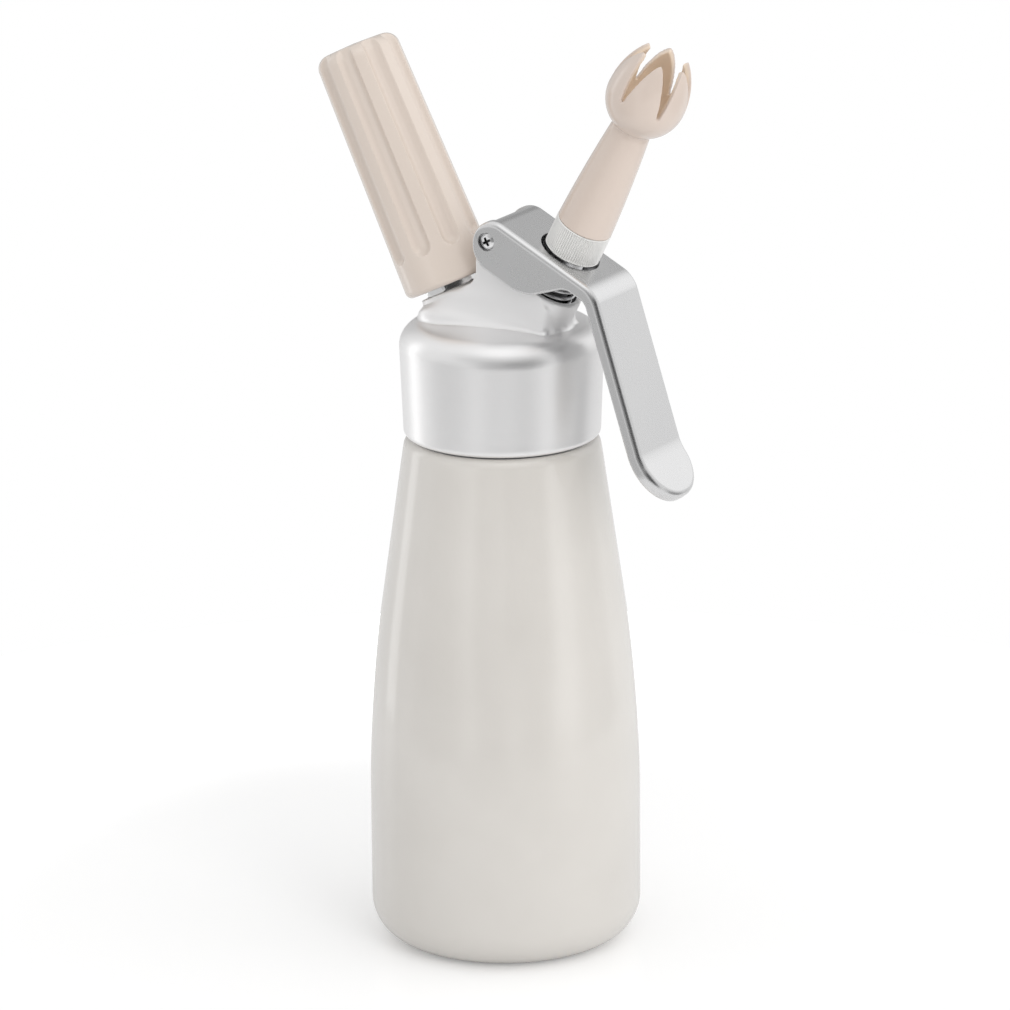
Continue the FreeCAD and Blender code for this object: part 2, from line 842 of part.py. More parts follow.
def make_charger_holder():
    """Moulded holder: tapered, nine flutes that run out at its rounded top."""
    low = d["holder_stand_off"]
    end = charger_mouth_level() + d["charger_length"] + d["seat_gap"]
    top = end + d["holder_end_wall"]
    foot, crown = d["holder_foot_radius"], d["holder_top_radius"]
    low_round, high_round = d["holder_foot_round"], d["holder_top_round"]
    cavity = d["charger_radius"] + d["holder_clearance"]
    seat = d["stub_thread_radius"] + d["running_clearance"] + d["insert_wall"]
    insert_low = low + d["insert_depth"]
    insert_top = insert_low + d["insert_length"]
    mouth = d["stub_thread_radius"] + d["side_gap"]
    body = turned("charger_holder", [
        (mouth, low),
        (foot - low_round, low),
        (foot, low + low_round, low_round, True),
        (crown, top - high_round),
        (crown - high_round, top, high_round, True),
        (0, top),
        (0, end),
        (cavity, end - cavity, cavity, False),
        (cavity, insert_top),
        (seat, insert_top),
        (seat, insert_low),
        (mouth, insert_low),
    ])
    # Each flute is the path of a ball-ended cutter along the tapered side.
    half = d["flute_width"] / 2
    depth = d["flute_depth"]
    cutter = (half * half + depth * depth) / (depth * 2)
    lean = slope_angle((foot - crown) / (top - low))
    start = low + d["flute_start"]
    side_at_start = foot - (start - low) * tangent(lean)
    axis_low = side_at_start + cutter - depth
    reach = top + cutter - start
    axis_high = axis_low - reach * tangent(lean)
    sketch = outline_sketch(body, "flute_cutter", [
        (axis_low - cutter * cosine(lean), start - cutter * sine(lean)),
        (axis_low + cutter * sine(lean), start - cutter * cosine(lean), cutter, True),
        (axis_high, start + reach),
        (axis_high - cutter * cosine(lean), start + reach - cutter * sine(lean)),
    ])
    axis_line = Part.LineSegment(
        FreeCAD.Vector(axis_low.value, start.value, 0),
        FreeCAD.Vector(axis_high.value, (start + reach).value, 0),
    )
    index = sketch.addGeometry(axis_line, True)
    fix_point(sketch, index, 1, axis_low, start)
    fix_point(sketch, index, 2, axis_high, start + reach)
    flute = body.newObject("PartDesign::Groove", "flute")
    flute.Profile = sketch
    flute.ReferenceAxis = (sketch, ["Axis0"])
    flute.Angle = 360.0
    cut_checked(body, flute)
    polar(body, flute, d["holder_flutes"], "flutes")
    keep(body, "charger_holder", CHARGER)


# ---------------------------------------------------------------- lever and pivot

def beyond_point(start, angle, length):
    """The point a length on from another, in a direction an angle below the plate's."""
    return (start[0] + cosine(angle) * length, start[1] - sine(angle) * length)


def make_lever():
    """Cast lever: a channel-shaped arm with two ears, bent down into a flat grip and paddle."""
    top = d["plate_top"]
    ear = d["ear_radius"]
    ear_z = top - ear
    chin = ear_z + d["cheek_depth"]
    grip_angle = d["bend_angle"]
    paddle_angle = grip_angle - d["paddle_turn"]
    thick = d["grip_thickness"]
    bend = (d["bend_arm"], top)
    crease = beyond_point(bend, grip_angle, d["grip_length"])
    end = beyond_point(crease, paddle_angle, d["paddle_length"])
    end_inner = (end[0] - thick * sine(paddle_angle), end[1] - thick * cosine(paddle_angle))
    half_turn = d["paddle_turn"] / 2
    middle_angle = grip_angle - half_turn
    across = thick / cosine(half_turn)
    crease_inner = (
        crease[0] - across * sine(middle_angle),
        crease[1] - across * cosine(middle_angle),
    )

    def on_inner_side(level):
        """The grip's inner side at a height of the lever's own frame."""
        return crease_inner[0] + (crease_inner[1] - level) / tangent(grip_angle)

    notch_z = d["cheek_notch_level"]
    crotch = on_inner_side(notch_z)
    body = new_body("lever_body")
    side = outline_sketch(body, "lever_side", [
        (d["ear_offset"], top),
        (d["ear_offset"] - ear, ear_z, ear, True),
        (d["ear_offset"] - ear + chin, -d["cheek_depth"], chin, True),
        (d["cheek_belly"], -d["cheek_depth"]),
        (d["cheek_notch"], notch_z),
        (crotch, notch_z),
        crease_inner,
        end_inner,
        end,
        crease,
        bend,
    ])
    blank = pad(body, side, d["lever_half_width"] * 2, "lever_blank")
    rounds = [
        ("bend_fillet", d["bend_round"], bend),
        ("belly_fillet", d["cheek_belly_round"], (d["cheek_belly"], -d["cheek_depth"])),
        ("notch_fillet", d["cheek_notch_round"], (d["cheek_notch"], notch_z)),
        ("crotch_fillet", d["cheek_notch_round"], (crotch, notch_z)),
        ("crease_fillet", d["paddle_round"], crease),
        ("crease_inner_fillet", d["paddle_round"] + thick, crease_inner),
    ]
    shaped = blank
    for name, radius, corner in rounds:
        shaped = rounded(body, shaped, radius, name, cross_edge_at(*corner))

    def end_corner(edge):
        """The two short edges across the thickness at the grip's free end."""
        ends = [v.Point for v in edge.Vertexes]
        if len(ends) != 2 or abs(edge.Length - thick.value) > 0.02:
            return False
        return all(p.x > end_inner[0].value - 0.02 for p in ends)

    rounded(body, shaped, d["lever_half_width"] - d["running_clearance"], "grip_end", end_corner)
    channel_end = on_inner_side(plate_under)
    far = d["lever_half_width"] * 3
    channel = outline_sketch(body, "channel_side", [
        (-far, plate_under),
        (channel_end, plate_under),
        (on_inner_side(-far), -far),
        (-far, -far),
    ])
    pocket(body, channel, cheek_inner * 2, "channel")
    back = outline_sketch(body, "plate_back_cut", [
        (-far, plate_under - BEYOND),
        (d["plate_back"], plate_under - BEYOND),
        (d["plate_back"], top + BEYOND),
        (-far, top + BEYOND),
    ])
    open_back = pocket(body, back, cheek_inner * 2, "plate_back_pocket")
    half = d["lever_half_width"].value

    def outer_rim(edge):
        """The edges of the two outer side faces."""
        box = edge.BoundBox
        return abs(abs(box.YMin) - half) < 0.01 and box.YLength < 0.01

    rounded(body, open_back, d["grip_edge_round"], "rim_fillet", outer_rim)
    pads = body.newObject("Sketcher::SketchObject", "pad_circle")
    pads.AttachmentSupport = [(plane_of(body, "XZ_Plane"), "")]
    pads.MapMode = "FlatFace"
    pad_z = d["stem_flange_top"] + d["side_gap"] + d["pad_radius"]
    centre = FreeCAD.Vector(d["valve_arm"].value, pad_z.value, 0)
    circle = Part.Circle(centre, FreeCAD.Vector(0, 0, 1), d["pad_radius"].value)
    index = pads.addGeometry(circle, False)
    rule = pads.addConstraint(Sketcher.Constraint("Radius", index, circle.Radius))
    bind(pads, f"Constraints[{rule}]", d["pad_radius"])
    fix_point(pads, index, 3, d["valve_arm"], pad_z)
    pad(body, pads, (cheek_inner + SUNK) * 2, "pads")
    recess_floor = d["lever_half_width"] - d["pivot_recess"]
    recess = d["pivot_head_radius"] + d["side_gap"]
    hole = d["barrel_radius"] + d["running_clearance"]
    pad_gap = rod("pad_gap", d["pad_gap_radius"], -far, far * 2)
    window = rod("stem_window", d["stem_window_radius"], plate_under, far)
    drawn = rod("stem_window_drawn", d["stem_window_radius"], plate_under, far)
    bind(pad_gap, "Placement.Base.x", d["valve_arm"])
    bind(window, "Placement.Base.x", d["valve_arm"])
    bind(drawn, "Placement.Base.x", d["valve_arm"] - d["stem_window_draw"])
    tools = [
        pad_gap,
        window,
        drawn,
        cross_rod("ear_holes", hole, (0.0, 0.0), -far, far * 2),
        cross_rod("near_recess", recess, (0.0, 0.0), -far, far - recess_floor),
        cross_rod("far_recess", recess, (0.0, 0.0), recess_floor, far - recess_floor),
    ]
    keep(cut_from("lever_cut", body, tools), "lever", PIVOT)


def make_pivot():
    """Threaded barrel through the lug and both ears, and the cross-recess screw in it."""
    recess_floor = d["lever_half_width"] - d["pivot_recess"]
    barrel_end = recess_floor - d["seat_gap"]
    head = d["pivot_head_radius"]
    thick = d["pivot_head_thickness"]
    axis = (0.0, 0.0)
    head_start = recess_floor + d["seat_gap"] / 2
    shaft = joined("barrel_solid", [
        cross_rod("barrel_shaft", d["barrel_radius"], axis, -barrel_end, barrel_end + head_start),
        cross_rod("barrel_head", head, axis, head_start, thick),
    ])
    thread = cross_rod("barrel_thread", d["pivot_screw_radius"], axis, -barrel_end, barrel_end)
    keep(cut_from("barrel_cut", shaft, [thread]), "pivot_barrel", PIVOT)
    seat = -head_start
    face = seat - thick
    screw = joined("screw_solid", [
        cross_rod("screw_shank", d["pivot_screw_radius"], axis, seat, barrel_end),
        cross_rod("screw_head", head, axis, face, thick),
    ])
    slot = d["cross_slot_width"]
    arm = d["cross_slot_length"]
    depth = BEYOND + d["cross_slot_depth"]
    slots = [
        bar("slot_across", (-arm / 2, face - BEYOND, -slot / 2), (arm, depth, slot)),
        bar("slot_up", (-slot / 2, face - BEYOND, -arm / 2), (slot, depth, arm)),
    ]
    keep(cut_from("screw_cut", screw, slots), "pivot_screw", PIVOT)


# ---------------------------------------------------------------- valve

def make_valve_stem():
    """Hollow stem: threaded top for the tip, flange for the lever, ports above its seal."""
    shaft = d["stem_radius"]
    foot = d["stem_foot_radius"]
    bore = d["stem_bore_radius"]
    seal_top = d["bush_foot"] - d["bush_flange"] - d["seat_gap"]
    edge = d["small_chamfer"]
    end = seal_top - d["valve_seal_thickness"] - d["valve_nut_thickness"] - edge
    thread = d["stem_thread_radius"]
    valley = thread - d["stem_thread_depth"]
    flange_low = d["stem_flange_top"] - d["stem_flange"]
    thread_start = d["collar_foot"] - d["chamfer"]
    thread_room = d["stem_top"] - thread_start - d["chamfer"]
    turns = whole_turns(thread_room, d["stem_thread_pitch"])
    bore_end = seal_top + edge
    outside = [
        (0, end),
        (foot, end),
        (foot, seal_top),
        (shaft, seal_top),
        (shaft, flange_low),
        (d["stem_flange_radius"], flange_low),
        (d["stem_flange_radius"], d["stem_flange_top"]),
        (thread, d["stem_flange_top"]),
        (thread, thread_start - edge),
        (valley, thread_start),
    ]
    outside += thread_ridges(valley, thread, thread_start, d["stem_thread_pitch"], turns)
    outside += [
        (valley, d["stem_top"]),
        (bore, d["stem_top"]),
        (bore, bore_end),
        (0, bore_end),
    ]
    port_level = seal_top + d["port_radius"] + d["port_rise"]
    reach = shaft + BEYOND
    ports = [
        cross_rod("port_across", d["port_radius"], (0.0, port_level), -reach, reach * 2),
        rod("port_along", d["port_radius"], 0.0, reach * 2),
    ]
    quarter_turn = FreeCAD.Rotation(FreeCAD.Vector(0, 1, 0), 90)
    ports[1].Placement = FreeCAD.Placement(FreeCAD.Vector(0, 0, 0), quarter_turn)
    bind(ports[1], "Placement.Base.x", -reach)
    bind(ports[1], "Placement.Base.z", port_level)
    stem = cut_from("stem_cut", turned("valve_stem", outside), ports)
    keep(stem, "valve_stem", VALVE)


def make_stem_bush():
    """Bush screwed in from inside the head: guides the stem and is the valve's seat."""
    inner = d["stem_radius"] + d["running_clearance"]
    groove = d["stem_radius"] + d["o_ring_radius"] * 2 + d["o_ring_depth_room"]
    level = d["o_ring_level"]
    half = d["o_ring_radius"] + d["o_ring_side_room"]
    low = d["bush_foot"]
    top = d["spring_seat"] - d["seat_gap"]
    bush = turned("stem_bush", [
        (inner, low - d["bush_flange"]),
        (bush_flange_radius, low - d["bush_flange"]),
        (bush_flange_radius, low),
        (bush_radius, low),
        (bush_radius, top),
        (inner, top),
        (inner, level + half),
        (groove, level + half),
        (groove, level - half),
        (inner, level - half),
    ])
    keep(bush, "stem_bush", VALVE)
    o_ring = doc.addObject("Part::Torus", "o_ring_torus")
    middle = d["stem_radius"] + d["running_clearance"] + d["o_ring_radius"]
    bind(o_ring, "Radius1", middle)
    bind(o_ring, "Radius2", d["o_ring_radius"])
    keep(o_ring, "stem_o_ring")
    place(o_ring, VALVE, level)


def make_valve_seal():
    """Rubber washer under the bush and the hexagon nut that holds it on the stem."""
    top = d["bush_foot"] - d["bush_flange"] - d["seat_gap"]
    low = top - d["valve_seal_thickness"]
    foot = d["stem_foot_radius"]
    keep(ring("valve_seal", foot, d["valve_seal_radius"], low, top), "valve_seal", VALVE)
    nut_low = low - d["valve_nut_thickness"]
    hexagon = prism("nut_hexagon", d["valve_nut_flats"], nut_low, d["valve_nut_thickness"])
    bore = rod("nut_bore", foot, nut_low - BEYOND, d["valve_nut_thickness"] + BEYOND * 2)
    keep(cut_from("nut_cut", hexagon, [bore]), "valve_nut", VALVE)


def make_valve_spring():
    """Round-wire compression spring between the stem's flange and the bush."""
    wire = d["spring_wire"]
    low = d["spring_seat"] + wire + d["spring_end_gap"]
    high = d["stem_flange_top"] - d["stem_flange"] - wire - d["spring_end_gap"]
    coil = doc.addObject("Part::Helix", "spring_coil")
    bind(coil, "Pitch", (high - low) / d["spring_turns"])
    bind(coil, "Height", high - low)
    bind(coil, "Radius", d["spring_radius"])
    bind(coil, "Placement.Base.z", low)
    section = doc.addObject("Part::Circle", "spring_section")
    bind(section, "Radius", wire)
    upright = FreeCAD.Rotation(FreeCAD.Vector(1, 0, 0), 90)
    section.Placement = FreeCAD.Placement(FreeCAD.Vector(0, 0, 0), upright)
    bind(section, "Placement.Base.x", d["spring_radius"])
    bind(section, "Placement.Base.z", low)
    doc.recompute()
    spring = doc.addObject("Part::Sweep", "spring_sweep")
    spring.Sections = [section]
    spring.Spine = (coil, ["Edge1"])
    spring.Solid = True
    spring.Frenet = True
    keep(spring, "valve_spring", VALVE)


# ---------------------------------------------------------------- decorating tip

def make_tip_collar():
    """Metal collar of the tip: threaded onto the stem, with a spigot inside the plastic."""
    low = d["collar_foot"]
    top = low + d["collar_length"]
    chamfer = d["collar_chamfer"]
    bore = d["stem_thread_radius"] + d["running_clearance"]
    seal_top = d["stem_top"] + d["seat_gap"] * 2 + d["tip_seal_thickness"]
    collar = turned("tip_collar", [
        (bore + chamfer, low),
        (d["collar_radius"] - chamfer, low),
        (d["collar_radius"], low + chamfer),
        (d["collar_radius"], top - chamfer),
        (d["collar_radius"] - chamfer, top),
        (d["spigot_radius"], top),
        (d["spigot_radius"], top + d["spigot_length"]),
        (d["tip_passage_radius"], top + d["spigot_length"]),
        (d["tip_passage_radius"], seal_top),
        (bore, seal_top),
        (bore, low + chamfer),
    ])
    keep(collar, "tip_collar", VALVE)
    seal_low = d["stem_top"] + d["seat_gap"]
    seal = ring("tip_seal", d["stem_bore_radius"], d["stem_thread_radius"] - d["press_gap"],
                seal_low, seal_low + d["tip_seal_thickness"])
    keep(seal, "tip_seal", VALVE)


def make_tip_body():
    """Moulded tip: a tapered tube that opens into a tulip with slit petals."""
    foot = d["collar_foot"] + d["collar_length"]
    spigot_top = foot + d["spigot_length"]
    waist = d["tip_waist_radius"]
    bulb = d["tulip_radius"]
    centre = d["tulip_centre"]
    wall = d["petal_wall"]
    passage = d["tip_passage_radius"]
    inner_bulb = bulb - wall
    base = centre - root(bulb * bulb - waist * waist)
    floor = centre - root(inner_bulb * inner_bulb - passage * passage)
    rise = d["tulip_rise"]
    sweep = d["petal_round"]
    rim = bulb - sweep + root(sweep * sweep - rise * rise)
    inner_sweep = sweep - wall
    inner_rim = bulb - sweep + root(inner_sweep * inner_sweep - rise * rise)
    top = centre + rise
    body = turned("tip_body", [
        (d["spigot_radius"], foot),
        (d["tip_foot_radius"], foot),
        (waist, base, d["tip_tube_round"], True),
        (bulb, centre, bulb, True),
        (rim, top, sweep, True),
        (inner_rim, top),
        (inner_bulb, centre, inner_sweep, False),
        (passage, floor, inner_bulb, False),
        (passage, spigot_top),
        (d["spigot_radius"], spigot_top),
    ])
    # One slit opens upwards between two petals, whose tips it leaves round.
    tip = d["petal_tip_round"]
    tip_round = tip + SUNK * 1.5
    slit_low = top - d["slit_depth"]
    half = d["slit_half_width"]
    sketch = outline_sketch(body, "slit_outline", [
        (0, slit_low),
        (half, top - tip),
        (half + tip, top + SUNK, tip_round, False),
        (-half - tip, top + SUNK),
        (-half, top - tip, tip_round, False),
    ], role="YZ_Plane")
    cut = body.newObject("PartDesign::Pocket", "slit")
    cut.Profile = sketch
    cut.SideType = "One side"
    bind(cut, "Length", bulb * 2)
    cut_checked(body, cut)
    polar(body, cut, d["petals"], "slits")
    keep(body, "tip_body", VALVE)


# ---------------------------------------------------------------- build, check and write

def build_all():
    make_bottle()
    make_gasket()
    make_head()
    make_charger_stub()
    make_pin_set()
    make_charger_seal()
    make_gas_charger()
    make_holder_insert()
    make_charger_holder()
    make_lever()
    make_pivot()
    make_valve_stem()
    make_stem_bush()
    make_valve_seal()
    make_valve_spring()
    make_tip_collar()
    make_tip_body()
    doc.recompute()


def check_all():
    """Stop if any object of the document failed or any sub-part isn't one valid solid."""
    for thing in doc.Objects:
        if "Invalid" in thing.State or "Error" in thing.State:
            raise RuntimeError(f"{thing.Name} failed: {thing.State}")
    for thing in sub_parts:
        shape = thing.Shape
        if shape.isNull() or not shape.isValid() or not shape.Solids:
            raise RuntimeError(f"{thing.Label} has no valid shape")
        print(f"{thing.Label:16s} solids {len(shape.Solids)} volume {shape.Volume:10.1f}")


def write_all():
    os.makedirs("parts", exist_ok=True)
    for thing in sub_parts:
        thing.Shape.exportStep(f"parts/{thing.Label}.step")


build_all()
check_all()
write_all()
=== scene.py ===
import math

import bmesh
import bpy
from mathutils import Matrix, Vector
from mathutils.bvhtree import BVHTree


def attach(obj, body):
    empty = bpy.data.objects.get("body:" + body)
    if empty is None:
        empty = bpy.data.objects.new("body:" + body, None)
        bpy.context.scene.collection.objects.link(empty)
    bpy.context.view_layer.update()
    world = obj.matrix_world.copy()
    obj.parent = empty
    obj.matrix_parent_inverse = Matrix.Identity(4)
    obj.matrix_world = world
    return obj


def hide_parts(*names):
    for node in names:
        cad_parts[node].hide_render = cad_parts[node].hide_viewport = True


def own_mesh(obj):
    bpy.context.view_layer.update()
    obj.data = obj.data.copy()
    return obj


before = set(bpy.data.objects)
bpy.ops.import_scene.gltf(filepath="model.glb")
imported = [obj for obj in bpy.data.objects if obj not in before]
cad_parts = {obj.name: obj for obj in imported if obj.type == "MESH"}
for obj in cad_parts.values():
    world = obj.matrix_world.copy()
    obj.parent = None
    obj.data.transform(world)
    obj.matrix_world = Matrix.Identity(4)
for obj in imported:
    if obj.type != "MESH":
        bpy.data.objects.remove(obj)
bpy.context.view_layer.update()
scene = bpy.context.scene

# ---- Stage ---------------------------------------------------------------------------
# A white table in a bright soft room, with one wide lamp on the right. What bright metal
# mirrors there is a light strip on the left and several darker cards with soft edges.

CAMERA_PLACE = Vector((1.0064, -1.6738, 0.7105))
CAMERA_TARGET = Vector((0.0005, 0.0003, 0.132))
CAMERA_LENS = 247.3
CAMERA_ROLL = 0.5
# A Mix node has sockets of the same names for each kind of value. These are its colours'.
MIX_INPUTS = (0, 6, 7)
MIX_RESULT = 2


class Wire:
    """One output of a node; arithmetic on it adds Math nodes."""

    def __init__(self, tree, socket):
        self.tree = tree
        self.socket = socket

    def math(self, operation, *others, swap=False):
        values = [*others, self] if swap else [self, *others]
        return self.tree.node("ShaderNodeMath", {"operation": operation}, *values)

    def __add__(self, other):
        return self.math("ADD", other)

    def __sub__(self, other):
        return self.math("SUBTRACT", other)

    def __rsub__(self, other):
        return self.math("SUBTRACT", other, swap=True)

    def __mul__(self, other):
        return self.math("MULTIPLY", other)

    __radd__ = __add__
    __rmul__ = __mul__


class Tree:
    """The nodes of one material or of the world."""

    def __init__(self, owner):
        owner.use_nodes = True
        self.nodes = owner.node_tree.nodes
        self.links = owner.node_tree.links

    def node(self, kind, settings, *values, out=0, **named):
        """A node with its settings, its sockets' values or wires, and its output read."""
        made = self.nodes.new(kind)
        for name, value in settings.items():
            setattr(made, name, value)
        for key, value in [*enumerate(values), *named.items()]:
            socket = made.inputs[key.replace("_", " ") if isinstance(key, str) else key]
            self.plug(value, socket)
        return Wire(self, made.outputs[out])

    def plug(self, value, socket):
        if isinstance(value, Wire):
            self.links.new(value.socket, socket)
        elif value is not None:
            socket.default_value = value

    def fade(self, value, low, high):
        """A soft step from 0 at low to 1 at high."""
        return self.node(
            "ShaderNodeMapRange",
            {"interpolation_type": "SMOOTHSTEP", "clamp": True},
            value, low, high, 0.0, 1.0,
        )

    def mix(self, share, first, second):
        """A colour between two, by share."""
        made = self.nodes.new("ShaderNodeMix")
        made.data_type = "RGBA"
        for socket, value in zip(MIX_INPUTS, (share, first, second)):
            self.plug(value, made.inputs[socket])
        return Wire(self, made.outputs[MIX_RESULT])

    def rays(self, *kinds):
        """A wire for each kind of ray, 1 where the light path is of that kind."""
        path = self.nodes.new("ShaderNodeLightPath")
        return [Wire(self, path.outputs[f"Is {kind} Ray"]) for kind in kinds]


def set_camera():
    camera_data = bpy.data.cameras.new("camera")
    camera_data.lens = CAMERA_LENS
    camera_data.clip_start = 0.1
    camera_data.clip_end = 20.0
    camera = bpy.data.objects.new("camera", camera_data)
    scene.collection.objects.link(camera)
    sight = (CAMERA_TARGET - CAMERA_PLACE).to_track_quat("-Z", "Y").to_matrix().to_4x4()
    roll = Matrix.Rotation(math.radians(-CAMERA_ROLL), 4, "Z")
    camera.matrix_world = Matrix.Translation(CAMERA_PLACE) @ sight @ roll
    scene.camera = camera


def soft_lamp(name, place, target, size, watts):
    lamp = bpy.data.lights.new(name, "AREA")
    lamp.shape = "RECTANGLE"
    lamp.size, lamp.size_y = size
    lamp.energy = watts
    thing = bpy.data.objects.new(name, lamp)
    scene.collection.objects.link(thing)
    aim = (Vector(target) - Vector(place)).to_track_quat("-Z", "Y").to_matrix().to_4x4()
    thing.matrix_world = Matrix.Translation(place) @ aim
    thing.visible_glossy = False


def compass(azimuth, elevation):
    """A direction: azimuth 0 is towards -Y and 90 towards +X."""
    a, e = math.radians(azimuth), math.radians(elevation)
    return (math.sin(a) * math.cos(e), -math.cos(a) * math.cos(e), math.sin(e))


# The room as metal sees it: its level, the ceiling's extra, the darkest it gets, and its
# cards, each a change of level, then azimuth, elevation, width and softness in degrees.
# The band card dims only what is part way up. The strip is upright, low and on the left.
ROOM_LEVEL = 0.84
CEILING_EXTRA = 0.10
DARKEST = 0.05
ROOM_CARDS = [
    (-0.80, 58, 8, 14, 16),
    (-0.55, 22, 4, 12, 14),
    (-0.30, -31, -20, 12, 20),
    (-0.50, 120, -20, 12, 18),
    (0.10, 88, -10, 8, 14),
    (-0.30, 190, 40, 8, 20),
    (-0.32, 215, 14, 14, 20),
    (0.30, 156, 22, 6, 18),
    (0.30, 31, 72, 10, 16),
]
BAND_CARD = (31, 36, 34, 26)
BAND_DEPTH = 0.36
STRIP_AZIMUTH = -88
STRIP_EDGES = (10, 4)
STRIP_LEVEL = 0.8
# The room's soft light, which reaches every piece: its level and two broad cards.
SOFT_LEVEL = 0.72
SOFT_CARDS = [(0.50, 80, 15, 20, 60), (0.24, -70, 5, 6, 40)]


def paint_world():
    """White to the camera; to metal, a bright room with some darker, soft cards."""
    world = bpy.data.worlds.new("studio")
    scene.world = world
    tree = Tree(world)
    way = tree.node("ShaderNodeTexCoord", {})
    towards = tree.node("ShaderNodeVectorMath", {"operation": "NORMALIZE"}, way)
    up = tree.node("ShaderNodeSeparateXYZ", {}, towards, out="Z")

    def card(azimuth, elevation, wide, soft):
        """1 in a round patch of the room, fading out over soft degrees at its edge."""
        facing = tree.node(
            "ShaderNodeVectorMath", {"operation": "DOT_PRODUCT"},
            towards, compass(azimuth, elevation), out="Value",
        )
        return tree.fade(
            facing, math.cos(math.radians(wide + soft)), math.cos(math.radians(wide))
        )

    def with_cards(level, cards):
        for amount, *where in cards:
            level = level + card(*where) * amount
        return level

    level = with_cards(ROOM_LEVEL + tree.fade(up, 0.45, 0.80) * CEILING_EXTRA, ROOM_CARDS)
    band = tree.fade(up, 0.20, 0.45) * (1.0 - tree.fade(up, 0.62, 0.82))
    level = level - band * card(*BAND_CARD) * BAND_DEPTH
    sideways = tree.node(
        "ShaderNodeVectorMath", {"operation": "NORMALIZE"},
        tree.node("ShaderNodeVectorMath", {"operation": "MULTIPLY"}, towards, (1, 1, 0)),
    )
    upright = tree.node(
        "ShaderNodeVectorMath", {"operation": "DOT_PRODUCT"},
        sideways, compass(STRIP_AZIMUTH, 0), out="Value",
    )
    strip = tree.fade(upright, *[math.cos(math.radians(edge)) for edge in STRIP_EDGES])
    strip = strip * (1.0 - tree.fade(up, 0.3, 0.6))
    level = level.math("MAXIMUM", DARKEST) + strip * STRIP_LEVEL
    soft_level = with_cards(SOFT_LEVEL, SOFT_CARDS)
    seen, through, mirrored = tree.rays("Camera", "Transmission", "Glossy")
    white = seen.math("MAXIMUM", through)
    strength = white + (1.0 - white) * (mirrored * level + (1.0 - mirrored) * soft_level)
    back = tree.nodes["Background"]
    back.inputs["Color"].default_value = (1, 1, 1, 1)
    tree.plug(strength, back.inputs["Strength"])


TABLE_RADIUS = 0.32
TABLE_DROP = 0.0002
TABLE_GLOW = 0.22
TABLE_EDGE_GLOW = 0.6
TABLE_MIRRORED_GLOW = 0.06


def lay_table():
    """A round white table top, a little glossy, that catches the bottle's shadow."""
    bm = bmesh.new()
    bmesh.ops.create_circle(bm, cap_ends=True, segments=96, radius=TABLE_RADIUS)
    mesh = bpy.data.meshes.new("table")
    bm.to_mesh(mesh)
    bm.free()
    table = bpy.data.objects.new("table", mesh)
    table.location.z = -TABLE_DROP
    scene.collection.objects.link(table)
    material = bpy.data.materials.new("white_table")
    mesh.materials.append(material)
    tree = Tree(material)
    shader = tree.nodes["Principled BSDF"]
    shader.inputs["Base Color"].default_value = (0.93, 0.93, 0.93, 1)
    shader.inputs["Roughness"].default_value = 0.22
    shader.inputs["Specular IOR Level"].default_value = 0.35
    place = tree.node("ShaderNodeTexCoord", {}, out="Object")
    reach = tree.node("ShaderNodeVectorMath", {"operation": "LENGTH"}, place, out="Value")
    edge = tree.fade(reach, TABLE_RADIUS * 0.45, TABLE_RADIUS * 0.95)
    seen, mirrored, through = tree.rays("Camera", "Glossy", "Transmission")
    seen = seen.math("MAXIMUM", through)
    glow = seen * (edge * TABLE_EDGE_GLOW + TABLE_GLOW) + mirrored * TABLE_MIRRORED_GLOW
    tint = tree.mix(glow, (0, 0, 0, 1), (1, 1, 1, 1))
    tree.plug(tint, shader.inputs["Emission Color"])
    shader.inputs["Emission Strength"].default_value = 1.0


scene.view_settings.view_transform = "Standard"
set_camera()
paint_world()
lay_table()
soft_lamp("key_lamp", (1.5, -0.9, 1.0), target=(0, 0, 0.13), size=(0.7, 0.9), watts=5.0)

# ---- Bottle --------------------------------------------------------------------------
# Drawn aluminium, powder coated off-white up to the shoulder; the neck is bare and has
# one rolled thread. The foot is rounded, with a shallow dished base inside its ring.

MM = 0.001
UPRIGHT = Matrix.Scale(MM, 4)
SEAM = 0.0005  # points that are nearer than this, in millimetres, are one point


def outline(corners):
    """A closed wire of (radius, height[, rounding]) corners in the x-z plane. A rounded
    corner has a step for every 6 degrees of its turn, and more where it is long."""
    bm = bmesh.new()
    dots = [bm.verts.new((corner[0], 0, corner[1])) for corner in corners]
    for index, dot in enumerate(dots):
        bm.edges.new((dot, dots[(index + 1) % len(dots)]))
    for index, corner in enumerate(corners):
        if len(corner) < 3:
            continue
        before = Vector(corners[index - 1][:2])
        here = Vector(corner[:2])
        after = Vector(corners[(index + 1) % len(corners)][:2])
        turn = (here - before).angle(after - here)
        steps = max(2, min(24, int(math.degrees(turn) / 6 + corner[2] * turn / 2)))
        bmesh.ops.bevel(
            bm, geom=[dots[index]], offset=corner[2] * math.tan(turn / 2),
            segments=steps, profile=0.5, affect="VERTICES", material=-1,
        )
    return bm


def spun(corners, steps=160):
    """A turned shape: its outline spun once round the z axis."""
    bm = outline(corners)
    bmesh.ops.spin(
        bm, geom=bm.verts[:] + bm.edges[:], cent=(0, 0, 0), axis=(0, 0, 1),
        dvec=(0, 0, 0), angle=math.tau, steps=steps, use_merge=True, use_duplicate=False,
    )
    bmesh.ops.remove_doubles(bm, verts=bm.verts[:], dist=SEAM)
    bmesh.ops.recalc_face_normals(bm, faces=bm.faces[:])
    return bm


